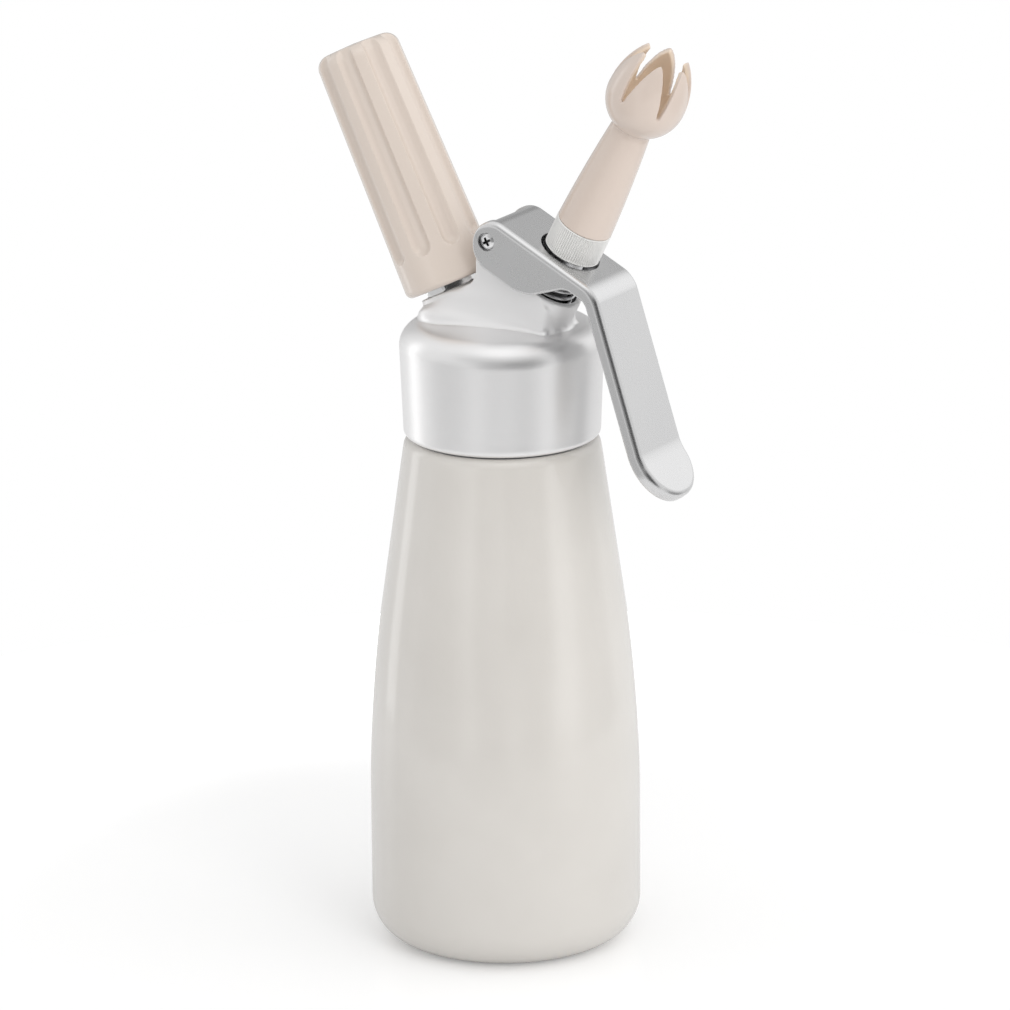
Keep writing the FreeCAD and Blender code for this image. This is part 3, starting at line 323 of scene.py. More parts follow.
def helix_ridge(bm, section, pitch, turns, steps=72):
    """Adds a ridge to bm: a (radius, height) section wound up the z axis and capped."""
    dots = [bm.verts.new((x, 0, z)) for x, z in section]
    start = bm.faces.new(dots)
    total = round(turns * steps)
    bmesh.ops.spin(
        bm, geom=[start], cent=(0, 0, 0), axis=(0, 0, 1), dvec=(0, 0, pitch / steps),
        angle=math.tau * total / steps, steps=total, use_merge=False, use_duplicate=False,
    )


def finished(bm, name, material, place=UPRIGHT, sharp=32.0):
    """Turns a mesh made in millimetres into a finished object at the origin."""
    bm.transform(place)
    mesh = bpy.data.meshes.new(name)
    bm.to_mesh(mesh)
    bm.free()
    mesh.shade_smooth()
    mesh.set_sharp_from_angle(angle=math.radians(sharp))
    for each in material if isinstance(material, list) else [material]:
        mesh.materials.append(each)
    thing = bpy.data.objects.new(name, mesh)
    scene.collection.objects.link(thing)
    return thing


def fit(thing, body, slot, *nodes):
    """Rides a piece on its body and hides the CAD nodes it stands for; its slot is not
    used.
    """
    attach(thing, body)
    if nodes:
        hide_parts(*nodes)


class Finish(Tree):
    """A procedural material that ends in one Principled shader."""

    def __init__(self, name, **fixed):
        self.material = bpy.data.materials.new(name)
        super().__init__(self.material)
        self.shader = self.nodes["Principled BSDF"]
        self.feed(**fixed)
        self.place = self.node("ShaderNodeTexCoord", {}, out="Object")

    def feed(self, **values):
        for name, value in values.items():
            if isinstance(value, tuple) and len(value) == 3:
                value = (*value, 1.0)
            self.plug(value, self.shader.inputs[name.replace("_", " ")])

    def noise(self, scale, detail=3.0, rough=0.5, stretch=(1, 1, 1), lean=(0, 0, 0)):
        """Noise on the object's own place, stretched along its axes after a turn."""
        turned = self.node(
            "ShaderNodeMapping", {}, self.place, Rotation=lean, Scale=stretch
        )
        return self.node(
            "ShaderNodeTexNoise", {}, Vector=turned, Scale=scale, Detail=detail,
            Roughness=rough,
        )

    def bump(self, height, depth):
        """Feeds a height (0 to 1) to the shader's normal, depth in metres."""
        self.feed(
            Normal=self.node(
                "ShaderNodeBump", {}, Strength=1.0, Distance=depth, Height=height
            )
        )


def powder_coat():
    """Satin off-white powder coat: faint orange peel, fine grain, slight mottling."""
    coat = Finish(
        "powder_coat", Specular_IOR_Level=0.5, Coat_Roughness=0.12, Coat_IOR=1.8
    )
    peel = coat.noise(900.0, 2.0, 0.4)
    grain = coat.noise(5200.0, 2.0, 0.6)
    cloud = coat.noise(28.0, 3.0, 0.55)
    coat.feed(
        Base_Color=coat.mix(
            coat.fade(cloud, 0.3, 0.7), (0.668, 0.638, 0.597, 1), (0.698, 0.668, 0.627, 1)
        ),
        Roughness=grain * 0.10 + cloud * 0.05 + 0.33,
        Coat_Weight=cloud * 0.2 + 0.8,
    )
    coat.bump(peel * 0.7 + grain * 0.3, 0.000018)
    return coat.material


def bare_neck():
    """Bare drawn aluminium with fine turning marks."""
    metal = Finish("bare_aluminium", Metallic=1.0)
    marks = metal.noise(60.0, 4.0, 0.6, stretch=(1, 1, 60))
    metal.feed(
        Base_Color=metal.mix(marks, (0.70, 0.70, 0.70, 1), (0.84, 0.84, 0.84, 1)),
        Roughness=marks * 0.12 + 0.26,
    )
    metal.bump(marks, 0.00001)
    return metal.material


NECK_TOP = 176.0
NECK_RADIUS = 23.4
NECK_INSIDE = 27.0
COAT_TOP = 153.7
COAT_LOW_INSIDE = 20.0
BELLY = 39.97
RIDGE_CREST = 1.0
RIDGE_PITCH = 3.0
RIDGE_TURNS = 4.6
RIDGE_START = 158.0
bottle_mesh = spun([
    (0, 1.2), (21.6, 1.2, 3), (24.0, 0, 1.5), (BELLY, 0, 12), (BELLY, 74.6, 400),
    (29.92, 144.7), (29.3, 149.0), (28.5, 154.0, 3.6), (24.0, 154.0, 0.5),
    (NECK_RADIUS, 154.9, 0.4), (NECK_RADIUS, 173.4, 0.4), (24.0, 174.0, 0.5),
    (24.0, NECK_TOP, 0.8), (21.9, NECK_TOP, 0.6), (21.9, 151.6, 3), (27.6, 151.4, 4),
    (38.4, 74.6, 400), (38.4, 1.7, 10), (24.0, 1.7, 2), (21.6, 2.8, 2), (0, 2.8),
], steps=192)
ridge_section = [
    (-0.5, -1.5), (0.2, -1.05), (RIDGE_CREST, -0.32), (RIDGE_CREST, 0.32), (0.2, 1.05),
    (-0.5, 1.5),
]
helix_ridge(
    bottle_mesh, [(NECK_RADIUS + x, z + RIDGE_START) for x, z in ridge_section],
    RIDGE_PITCH, RIDGE_TURNS,
)
bmesh.ops.recalc_face_normals(bottle_mesh, faces=bottle_mesh.faces[:])
for face in bottle_mesh.faces:
    middle = face.calc_center_median()
    inside_neck = middle.xy.length < NECK_INSIDE and middle.z > COAT_LOW_INSIDE
    if middle.z > COAT_TOP or inside_neck:
        face.material_index = 1
bottle = finished(bottle_mesh, "bottle_body", [powder_coat(), bare_neck()])
fit(bottle, "bottle", "bottle", "bottle")

# ---- Head gasket ---------------------------------------------------------------------
# Flat red-brown silicone ring that the head presses onto the bottle's rim. It keeps the
# shape of the exact model, with the fine grain and dusty bloom of moulded silicone.


def rubber(name, deep, pale):
    """Matte moulded rubber with a dusty bloom and a fine grain."""
    skin = Finish(name, Specular_IOR_Level=0.3)
    bloom = skin.noise(180.0, 4.0, 0.6)
    grain = skin.noise(2600.0, 2.0, 0.5)
    skin.feed(Base_Color=skin.mix(bloom, deep, pale), Roughness=bloom * 0.2 + 0.55)
    skin.bump(grain, 0.00002)
    return skin.material


def dress(material, *nodes):
    """Gives a finish to parts that keep their exact shape."""
    for node in nodes:
        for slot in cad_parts[node].material_slots:
            slot.material = material


gasket_rubber = rubber("gasket_rubber", (0.30, 0.055, 0.035, 1), (0.42, 0.10, 0.065, 1))
dress(gasket_rubber, "head_gasket")

# ---- Head ----------------------------------------------------------------------------
# Cast aluminium: a screw ring under a shallow dome, and one flowing body on it with the
# charger boss, the hinge lug and the open valve boss. The ring is turned, the rest satin.


def axis_frame(x, z, tilt):
    """The place of an axis in the x-z plane, leaning by tilt degrees towards +x."""
    return Matrix.Translation((x, 0, z)) @ Matrix.Rotation(math.radians(tilt), 4, "Y")


VALVE_LEAN = 27.4
STEM_REACH = 20.3
CHARGER = axis_frame(-16.0, 196.0, -25.8)
PIVOT = axis_frame(2.5, 214.7, VALVE_LEAN)
VALVE = PIVOT @ Matrix.Translation((STEM_REACH, 0, 0))
ACROSS = Matrix.Rotation(math.radians(90), 4, "X")


def peg(radius, low, high, place, steps=96):
    """A plain round bar along the z axis of a place, for bosses and bores."""
    bm = bmesh.new()
    middle = Matrix.Translation((0, 0, (low + high) / 2))
    bmesh.ops.create_cone(
        bm, cap_ends=True, segments=steps, radius1=radius, radius2=radius,
        depth=high - low, matrix=place @ middle,
    )
    return bm


def slab(corners, low, high, place=Matrix()):
    """An outline in the x-z plane filled and drawn out along y from low to high."""
    bm = outline(corners)
    face = bmesh.ops.contextual_create(bm, geom=bm.edges[:])["faces"]
    bmesh.ops.translate(bm, verts=bm.verts[:], vec=(0, low, 0))
    drawn = bmesh.ops.extrude_face_region(bm, geom=face)["geom"]
    far = [each for each in drawn if isinstance(each, bmesh.types.BMVert)]
    bmesh.ops.translate(bm, verts=far, vec=(0, high - low, 0))
    bmesh.ops.recalc_face_normals(bm, faces=bm.faces[:])
    bm.transform(place)
    return bm


def wrapped(*discs):
    """The tight skin round some discs, each given as (place, radius, height)."""
    bm = bmesh.new()
    for place, radius, height in discs:
        bmesh.ops.create_circle(
            bm, segments=72, radius=radius,
            matrix=place @ Matrix.Translation((0, 0, height)),
        )
    bmesh.ops.convex_hull(bm, input=bm.verts[:])
    bare = [edge for edge in bm.edges if not edge.link_faces]
    bmesh.ops.delete(bm, geom=bare, context="EDGES")
    lone = [vert for vert in bm.verts if not vert.link_faces]
    bmesh.ops.delete(bm, geom=lone, context="VERTS")
    bmesh.ops.recalc_face_normals(bm, faces=bm.faces[:])
    return bm


def workpiece(bm):
    """A passing object that holds a mesh while modifiers work on it."""
    mesh = bpy.data.meshes.new("workpiece")
    bm.to_mesh(mesh)
    bm.free()
    thing = bpy.data.objects.new("workpiece", mesh)
    scene.collection.objects.link(thing)
    return thing


def scrap(thing):
    mesh = thing.data
    bpy.data.objects.remove(thing)
    bpy.data.meshes.remove(mesh)


def worked(bm, kind, **settings):
    """Runs one modifier over a mesh and gives its result."""
    thing = workpiece(bm)
    modifier = thing.modifiers.new("work", kind)
    for name, value in settings.items():
        setattr(modifier, name, value)
    graph = bpy.context.evaluated_depsgraph_get()
    mesh = bpy.data.meshes.new_from_object(thing.evaluated_get(graph))
    result = bmesh.new()
    result.from_mesh(mesh)
    bpy.data.meshes.remove(mesh)
    scrap(thing)
    return result


def combined(bm, operation, *tools):
    """Joins closed meshes to a closed mesh (UNION), cuts them out of it (DIFFERENCE) or
    keeps what it shares with them (INTERSECT)."""
    for tool in tools:
        cutter = workpiece(tool)
        bm = worked(bm, "BOOLEAN", object=cutter, operation=operation, solver="MANIFOLD")
        scrap(cutter)
    return bm


def gathered(*meshes):
    """Several closed meshes as one."""
    whole = bmesh.new()
    for bm in meshes:
        thing = workpiece(bm)
        whole.from_mesh(thing.data)
        scrap(thing)
    return whole


def step_up(value, low, high):
    """A soft step from 0 at low to 1 at high."""
    share = min(1.0, max(0.0, (value - low) / (high - low)))
    return share * share * (3 - 2 * share)


def softened(bm, verts, rounds):
    """Evens out some points of a mesh, each round a little more."""
    for _ in range(rounds):
        bmesh.ops.smooth_vert(
            bm, verts=verts, factor=0.5, use_axis_x=True, use_axis_y=True, use_axis_z=True
        )


def settle(bm, shape, near, far):
    """Draws points near an exact shape onto it, less and less from near to far."""
    tree = BVHTree.FromBMesh(shape)
    for vert in bm.verts:
        spot, _normal, _index, gap = tree.find_nearest(vert.co, far)
        if spot is not None:
            vert.co = vert.co.lerp(spot, 1.0 - step_up(gap, near, far))


def satin_head():
    """Satin aluminium: turning marks on the ring and dome, a fine blasted grain above."""
    metal = Finish("head_aluminium", Anisotropic=0.45, Anisotropic_Rotation=0.25)
    height = metal.node("ShaderNodeSeparateXYZ", {}, metal.place, out="Z")
    cast = metal.fade(height, 0.1885, 0.1915)
    marks = metal.noise(90.0, 5.0, 0.65, stretch=(1, 1, 55))
    long_marks = metal.noise(30.0, 3.0, 0.6, stretch=(1.4, 1.4, 90))
    grain = metal.noise(3400.0, 2.0, 0.6)
    cloud = metal.noise(70.0, 3.0, 0.5)
    turned = marks * 0.6 + long_marks * 0.4
    tone = cast * 0.5 + cloud * 0.2 + (1.0 - cast) * turned * 0.5
    metal.feed(
        Base_Color=metal.mix(tone, (0.845, 0.84, 0.84, 1), (0.905, 0.90, 0.90, 1)),
        Metallic=0.78 - cast * 0.30,
        Roughness=0.27 + cast * 0.14 + turned * 0.10 + cloud * 0.04,
    )
    metal.bump((1.0 - cast) * turned + cast * grain * 0.3, 0.00005)
    return metal.material


RING_FOOT = 154.2
CEILING = 179.0
CHARGER_BOSS = 10.3
VALVE_BOSS = 8.3
LUG_HALF = 8.9
BODY_FOOT = 184.0
CASTING_VOXEL = 0.46
CASTING_ROUNDS = 4
WAIST_ROUNDS = 30
dome_shape = [
    (0, RING_FOOT), (28.9, RING_FOOT, 1.9), (29.0, 158), (29.9, 181),
    (29.9, 187.085, 6.9), (11.97, 189.602, 160), (0, 189.6),
]


# The two bosses at the body's foot: a point of each axis, its shift for each millimetre
# down, the boss's radius, and the top, the rise and the spread of the flares round it.
FLARED_BOSSES = [
    (-16, 196, 0.4834, CHARGER_BOSS, 190.7, 1.0, 1.0),
    (20.52, 205.36, -0.5184, VALVE_BOSS, 188.4, 0.8, 0.6),
]
FLARE_PLANE = -2.2
FOOT_FLARES = [
    (8.0, 0.15), (6.0, 0.4), (4.4, 0.75), (3.1, 1.2), (2.0, 1.8), (1.1, 2.5), (0.3, 3.3),
]


def flare(lift, spread):
    """One layer of the body's foot: lift above its rim, spread out from the bosses."""
    layers = []
    for x, z, shift, radius, top, rise, share in FLARED_BOSSES:
        for level in (top + lift * rise, BODY_FOOT):
            centre = Matrix.Translation((x + (z - level) * shift, 0, 0))
            layers.append((centre, radius + spread * share, level))
    bm = wrapped(*layers)
    bmesh.ops.bisect_plane(
        bm, geom=bm.verts[:] + bm.edges[:] + bm.faces[:], clear_outer=True,
        plane_co=CHARGER @ Vector((0, 0, FLARE_PLANE)),
        plane_no=CHARGER.to_3x3() @ Vector((0, 0, 1)),
    )
    bmesh.ops.holes_fill(bm, edges=[edge for edge in bm.edges if edge.is_boundary])
    return bm


casting = gathered(
    spun(dome_shape, steps=192),
    wrapped(
        (CHARGER, CHARGER_BOSS, 0), (CHARGER, CHARGER_BOSS, -13),
        (VALVE, VALVE_BOSS, -6.4), (VALVE, VALVE_BOSS, -24),
    ),
    peg(LUG_HALF, -24, -6.1, VALVE),
    slab([
        (-16, BODY_FOOT), (-16, 195.4), (-3.4, 201.49, 4.5), (-3.4, 218.3, 5.8),
        (6.1, 218.3, 3.5), (6.1, 214.7), (9.814, 204.038), (20.5, 196), (20.5, BODY_FOOT),
    ], -LUG_HALF, LUG_HALF),
    *[flare(*layer) for layer in FOOT_FLARES],
)
casting = worked(casting, "REMESH", mode="VOXEL", voxel_size=CASTING_VOXEL)
softened(casting, casting.verts[:], CASTING_ROUNDS)
into_charger = CHARGER.inverted()
into_valve = VALVE.inverted()
waist = [
    vert for vert in casting.verts
    if 187.2 < vert.co.z < 201 and vert.co.xy.length < 27
    and (into_charger @ vert.co).z < -1.6 and (into_valve @ vert.co).z < -8.5
]
softened(casting, waist, WAIST_ROUNDS)
settle(casting, spun(dome_shape, steps=256), near=0.12, far=0.5)
inner_room = combined(
    spun([
        (0, 153), (25.7, 153), (25.2, RING_FOOT), (24.46, 155.4), (24.46, CEILING, 1.0),
        (0, CEILING),
    ], steps=192),
    "DIFFERENCE", peg(CHARGER_BOSS, -35.5, -10, VALVE),
)
head_cuts = [
    inner_room,
    peg(7.3, -18, -3.5, VALVE),  # spring well
    peg(6.6, -34, -17, VALVE),  # bush
    peg(8.5, -38, -33.5, VALVE),  # way out of the bottle, below the bush
    peg(7.0, -13.65, 3, CHARGER),  # stub
    peg(2.0, -26, -13, CHARGER),  # gas way
    peg(2.0, -9.5, 9.5, PIVOT @ ACROSS, steps=48),  # hinge barrel
    peg(11.2, 0, 3, CHARGER),  # all above the charger boss's flat top
]
head_mesh = combined(casting, "DIFFERENCE", *head_cuts)
head = finished(head_mesh, "head_casting", satin_head())
fit(head, "head", "head", "head")

# ---- Charger stub --------------------------------------------------------------------
# Chromed turned stub screwed into the charger boss. It has a spanner hexagon at its foot
# and the thread that the charger holder runs down on.


def bright_metal(name, dark, light, rough, marks=40.0):
    """Hard bright metal with fine turning marks and a faint uneven polish."""
    metal = Finish(name, Metallic=1.0)
    lines = metal.noise(marks * 6, 4.0, 0.6, stretch=(1, 1, 12))
    cloud = metal.noise(160.0, 3.0, 0.5)
    metal.feed(
        Base_Color=metal.mix(cloud, dark, light),
        Roughness=rough + lines * 0.08 + cloud * 0.04,
    )
    metal.bump(lines, 0.000006)
    return metal.material


def threaded(core, crest, pitch, low, high):
    """A ridge for a coarse thread: its section and its turns between two heights."""
    section = [
        (core - 0.25, -pitch * 0.42), (crest, -pitch * 0.10), (crest, pitch * 0.10),
        (core - 0.25, pitch * 0.42),
    ]
    bm = bmesh.new()
    ends = [(x, z + low + pitch * 0.45) for x, z in section]
    helix_ridge(bm, ends, pitch, (high - low) / pitch - 0.9, steps=64)
    bmesh.ops.recalc_face_normals(bm, faces=bm.faces[:])
    return bm


HEXAGON_TURN = math.radians(17.0)
HEXAGON_CORNER = 8.66
hexagon = combined(
    spun([
        (0, 0), (8.0, 0), (HEXAGON_CORNER, 0.45), (HEXAGON_CORNER, 3.15), (8.0, 3.6),
        (0, 3.6),
    ]),
    "INTERSECT",
    peg(HEXAGON_CORNER, -1, 5, Matrix.Rotation(HEXAGON_TURN, 4, "Z"), steps=6),
)
stub_mesh = combined(
    spun([
        (2.4, -4.9), (5.2, -5.0), (5.2, -13.4), (6.4, -13.4), (7.0, -12.8), (7.0, 1.5),
        (8.2, 1.5), (8.2, 3.6), (9.2, 4.0), (9.2, 11.6), (8.8, 12.0), (5.2, 12.0),
        (5.2, 4.4), (2.4, 4.4),
    ]),
    "UNION", hexagon, threaded(core=9.2, crest=9.98, pitch=1.5, low=4.0, high=11.6),
)
chrome = bright_metal("stub_chrome", (0.70, 0.70, 0.70, 1), (0.82, 0.82, 0.82, 1), 0.10)
stub = finished(stub_mesh, "charger_stub_turned", chrome, UPRIGHT @ CHARGER)
fit(stub, "head", "stub", "charger_stub")

# ---- Piercing pin and seals ----------------------------------------------------------
# The hollow steel pin, its brass retainer and the two black rubber seals in the stub.
# All are inside, and keep the shapes of the exact model.


def brass(name):
    """Machined brass, slightly tarnished."""
    metal = Finish(name, Metallic=1.0)
    tarnish = metal.noise(240.0, 5.0, 0.6)
    lines = metal.noise(200.0, 3.0, 0.6, stretch=(1, 1, 14))
    metal.feed(
        Base_Color=metal.mix(tarnish, (0.62, 0.42, 0.16, 1), (0.82, 0.63, 0.32, 1)),
        Roughness=tarnish * 0.16 + lines * 0.08 + 0.20,
    )
    metal.bump(lines, 0.000008)
    return metal.material


steel = bright_metal("turned_steel", (0.54, 0.54, 0.55, 1), (0.66, 0.66, 0.67, 1), 0.22)
black_rubber = rubber("black_rubber", (0.010, 0.010, 0.010, 1), (0.035, 0.034, 0.033, 1))
dress(steel, "piercing_pin")
dress(brass("retainer_brass"), "pin_retainer")
dress(black_rubber, "charger_seal", "non_return_seal")

# ---- Gas charger ---------------------------------------------------------------------
# A zinc-plated steel capsule inside the holder. It keeps the shape of the exact model,
# with the faint spangle and drawing lines of plated steel.


def plated_steel():
    """Zinc-plated drawn steel with a faint spangle."""
    metal = Finish("charger_plating", Metallic=1.0)
    spangle = metal.node(
        "ShaderNodeTexVoronoi", {"feature": "F1"}, Vector=metal.place, Scale=420.0,
        out="Color",
    )
    tone = metal.node("ShaderNodeSeparateColor", {}, spangle, out="Red")
    cloud = metal.noise(120.0, 4.0, 0.6)
    metal.feed(
        Base_Color=metal.mix(
            tone * 0.4 + cloud * 0.6, (0.56, 0.57, 0.59, 1), (0.72, 0.73, 0.74, 1)
        ),
        Roughness=cloud * 0.14 + 0.24,
    )
    metal.bump(cloud, 0.00001)
    return metal.material


dress(plated_steel(), "gas_charger")

# ---- Charger holder ------------------------------------------------------------------
# Moulded plastic tube that screws the charger down. It tapers towards its rounded top and
# has nine finger flutes; a brass insert in its mouth carries the thread.


def beige_plastic(name, pale, deep, add_painted_light=None):
    """Moulded satin plastic: slight mottling, fine flecks and a spark-eroded grain."""
    skin = Finish(name, Specular_IOR_Level=0.5, Coat_Roughness=0.15, Coat_IOR=1.65)
    cloud = skin.noise(46.0, 4.0, 0.55)
    fleck = skin.noise(700.0, 3.0, 0.6)
    grain = skin.noise(2400.0, 2.0, 0.6)
    colour = skin.mix(cloud * 0.7 + fleck * 0.3, deep, pale)
    skin.feed(
        # painted light, where one is given, is laid over the plastic's colour
        Base_Color=add_painted_light(skin, colour) if add_painted_light else colour,
        Roughness=fleck * 0.10 + cloud * 0.06 + 0.36,
        Coat_Weight=cloud * 0.2 + 0.8,
    )
    skin.bump(grain * 0.6 + fleck * 0.4, 0.000022)
    return skin.material


HOLDER_RADIUS = 13.93
HOLDER_FOOT = 1.6
HOLDER_LENGTH = 75.1
HOLDER_TAPER = 1.4
HOLDER_SKIN = 11.9
FLUTES = 9
FLUTE_TURN = math.radians(5.5)
FLUTE_HALF = 2.7
FLUTE_DEPTH = 1.8
FLUTE_FOOT = 12.0
FLUTE_RADIUS = 13.0
FLUTE_BLEND = 0.12


def flute_depth(angle, level):
    """How deep the ball-ended flutes are below the holder's side at a point."""
    pitch = math.tau / FLUTES
    aside = ((angle - FLUTE_TURN + pitch / 2) % pitch - pitch / 2) * FLUTE_RADIUS
    below = max(0.0, FLUTE_FOOT + FLUTE_HALF - level)
    reach = (aside * aside + below * below) / FLUTE_HALF**2
    hollow = FLUTE_DEPTH * (1 - reach**1.7)
    return (hollow + math.hypot(hollow, FLUTE_BLEND)) / 2


# Rings close together at the flutes' round ends, and further apart above them.
side_levels = [3.6 + step * 0.55 for step in range(1, 30)]
side_levels += [19.8 + step * 1.6 for step in range(33)]
holder_side = [
    (HOLDER_RADIUS - HOLDER_TAPER * (level - HOLDER_FOOT) / HOLDER_LENGTH, level)
    for level in side_levels
]
holder_mesh = spun([
    (0, 72.0), (9.3, 72.0, 8.8), (9.3, 14.0), (11.51, 14.0), (11.51, 3.8), (10.3, 3.8),
    (10.3, HOLDER_FOOT, 0.3), (HOLDER_RADIUS, HOLDER_FOOT, 2.0), *holder_side,
    (12.53, 76.3, 4.0), (0, 76.9),
], steps=360)
for vert in holder_mesh.verts:
    radius = vert.co.xy.length
    if radius > HOLDER_SKIN - step_up(vert.co.z, 70, 77) * 3 and vert.co.z > 5:
        angle = math.atan2(vert.co.y, vert.co.x)
        dent = flute_depth(angle, vert.co.z) * step_up(radius, 9.3, 12.4)
        vert.co.xy *= 1 - dent / radius
bmesh.ops.recalc_face_normals(holder_mesh, faces=holder_mesh.faces[:])
holder_plastic = beige_plastic(
    "holder_plastic", (0.745, 0.650, 0.575, 1), (0.705, 0.610, 0.535, 1)
)
holder = finished(
    holder_mesh, "charger_holder_moulded", holder_plastic, UPRIGHT @ CHARGER
)
fit(holder, "holder", "holder", "charger_holder")
dress(brass("insert_brass"), "holder_insert")

# ---- Lever ---------------------------------------------------------------------------
# Forged aluminium, satin polished: two ears on the hinge, a plate with a window for the
# valve stem, and a flat grip that bends down and ends in a rounded, out-turned paddle.


def satin_lever():
    """Satin-polished aluminium with fine marks along the lever and a soft grain."""
    metal = Finish("lever_aluminium", Metallic=1.0, Anisotropic=0.25)
    lean = (0, math.radians(-VALVE_LEAN), 0)
    marks = metal.noise(160.0, 4.0, 0.6, stretch=(1, 14, 1), lean=lean)
    grain = metal.noise(1500.0, 2.0, 0.5)
    cloud = metal.noise(60.0, 3.0, 0.5)
    metal.feed(
        Base_Color=metal.mix(cloud, (0.70, 0.70, 0.705, 1), (0.745, 0.745, 0.745, 1)),
        Roughness=0.22 + marks * 0.05 + grain * 0.02 + cloud * 0.04,
    )
    metal.bump(marks * 0.8 + grain * 0.2, 0.000004)
    return metal.material


LEVER_HALF = 12.4
CHEEK_INNER = 9.2
EDGE_ROUND = 1.9
PADDLE_START = 82.0
PADDLE_ROUND = 11.5
WINDOW_RADIUS = 8.9
WINDOW_PLACES = (STEM_REACH, 19.6)
PAD_RADIUS = 2.5
PAD_WIDTH = 1.8
lever_side = [
    (-4.7, 7.0, 6.55), (36.6, 7.0, 9.0), (72.65, -28.79, 12.0), (85.25, -34.88),
    (83.42, -38.66), (70.19, -32.27, 16.0), (35.27, 2.4, 4.0), (28.3, 2.4, 4.0),
    (17.5, -7.8, 12.0), (-4.7, -7.8, 8.15),
]
lever_mesh = slab(lever_side, -LEVER_HALF, LEVER_HALF)
end_corners = [
    edge for edge in lever_mesh.edges
    if all(vert.co.x > PADDLE_START for vert in edge.verts)
    and abs(edge.verts[0].co.y - edge.verts[1].co.y) < 1
]
bmesh.ops.bevel(
    lever_mesh, geom=end_corners, offset=PADDLE_ROUND, segments=20, profile=0.5,
    affect="EDGES", material=-1,
)
# The edges on the outside are rounded in full, and those that face the head less.
outward = Vector((0.45, 0, 0.89))
weight = lever_mesh.edges.layers.float.new("bevel_weight_edge")
for edge in lever_mesh.edges:
    if edge.calc_face_angle(0) > 0.9:
        facing = max((face.normal.dot(outward) for face in edge.link_faces), key=abs)
        edge[weight] = 0.42 + 0.58 * step_up(facing, -0.5, 0.6)
lever_mesh = worked(
    lever_mesh, "BEVEL", limit_method="WEIGHT", width=EDGE_ROUND, segments=6,
    use_clamp_overlap=False,
)
channel = [(-12, -20), (34.6, -20), (34.6, 2.6), (33.0, 4.2), (-12, 4.2)]
back_gap = [(-12, -20), (-1.5, -20), (-1.5, 12), (-12, 12)]
lever_cuts = [
    *[slab(side, -CHEEK_INNER, CHEEK_INNER) for side in (channel, back_gap)],
    *[peg(WINDOW_RADIUS, 0, 10, Matrix.Translation((x, 0, 0))) for x in WINDOW_PLACES],
    peg(2.75, 10.5, 14, ACROSS, steps=64),  # seat of the screw's head
    peg(2.06, -14, 14, ACROSS, steps=48),  # hinge hole
]
lever_mesh = combined(lever_mesh, "DIFFERENCE", *lever_cuts)
# Two round pads inside the ears press on the stem's flange.
pad_place = Matrix.Translation((STEM_REACH, 0, 3.8)) @ ACROSS
pads = [peg(PAD_RADIUS, low, low + PAD_WIDTH, pad_place, steps=48) for low in (-9.3, 7.5)]
lever_mesh = combined(lever_mesh, "UNION", *pads)
lever = finished(lever_mesh, "lever_forged", satin_lever(), UPRIGHT @ PIVOT, sharp=28)
lever.modifiers.new("even_shading", "WEIGHTED_NORMAL").keep_sharp = True
fit(lever, "lever", "lever", "lever")

# ---- Hinge screw ---------------------------------------------------------------------
# A chromed cross-recess screw with a low domed head, sunk in the near ear. It runs into a
# threaded barrel, the lever's real axle, which keeps its exact shape.

HEAD_SEAT = 10.63
HEAD_FACE = 12.22
RECESS_TURNS = (-34, 56)
RECESS_ARM = (3.6, 0.85, 1.9)
RECESS_SINK = 0.25
RECESS_REACH = 1.75
screw_mesh = spun([
    (0, -9.0), (1.2, -9.0), (1.2, HEAD_SEAT), (2.44, HEAD_SEAT, 0.1), (2.44, 11.5, 0.5),
    (1.2, HEAD_FACE, 2.5), (0, HEAD_FACE),
], steps=96)
recess = []
for turn in RECESS_TURNS:
    arm = bmesh.new()
    bmesh.ops.create_cube(arm, size=1.0, matrix=Matrix.Diagonal((*RECESS_ARM, 1)))
    for vert in arm.verts:
        if vert.co.z < 0:
            vert.co.x *= 0.45
            vert.co.y *= 0.7
    arm.transform(
        Matrix.Translation((0, 0, HEAD_FACE - RECESS_SINK))
        @ Matrix.Rotation(math.radians(turn), 4, "Z")
    )
    recess.append(arm)
screw_mesh = combined(screw_mesh, "DIFFERENCE", *recess)
# The faces in the cross recess take the second, near-black material: painted shade for
# the recess.
for face in screw_mesh.faces:
    middle = face.calc_center_median()
    in_head = middle.xy.length < RECESS_REACH and middle.z > 9
    if in_head and (face.normal.z < 0.8 or middle.z < 11.6):
        face.material_index = 1
screw_chrome = bright_metal(
    "screw_chrome", (0.80, 0.80, 0.81, 1), (0.90, 0.90, 0.90, 1), 0.12
)
# Near-black metal: painted shade for the inside of the cross recess.
recess_painted_shade = bright_metal(
    "recess_painted_shade", (0.05, 0.05, 0.05, 1), (0.12, 0.12, 0.12, 1), 0.4
)
barrel_steel = bright_metal(
    "barrel_steel", (0.60, 0.60, 0.61, 1), (0.72, 0.72, 0.72, 1), 0.16
)
screw = finished(
    screw_mesh, "hinge_screw", [screw_chrome, recess_painted_shade], UPRIGHT @ PIVOT @ ACROSS
)
fit(screw, "head", "screw", "pivot_screw")
dress(barrel_steel, "pivot_barrel")

# ---- Valve ---------------------------------------------------------------------------
# A hollow turned steel stem with a flange that the lever presses, a thread for the tip,
# and below it the brass bush, rubber washer and nut that close the valve.

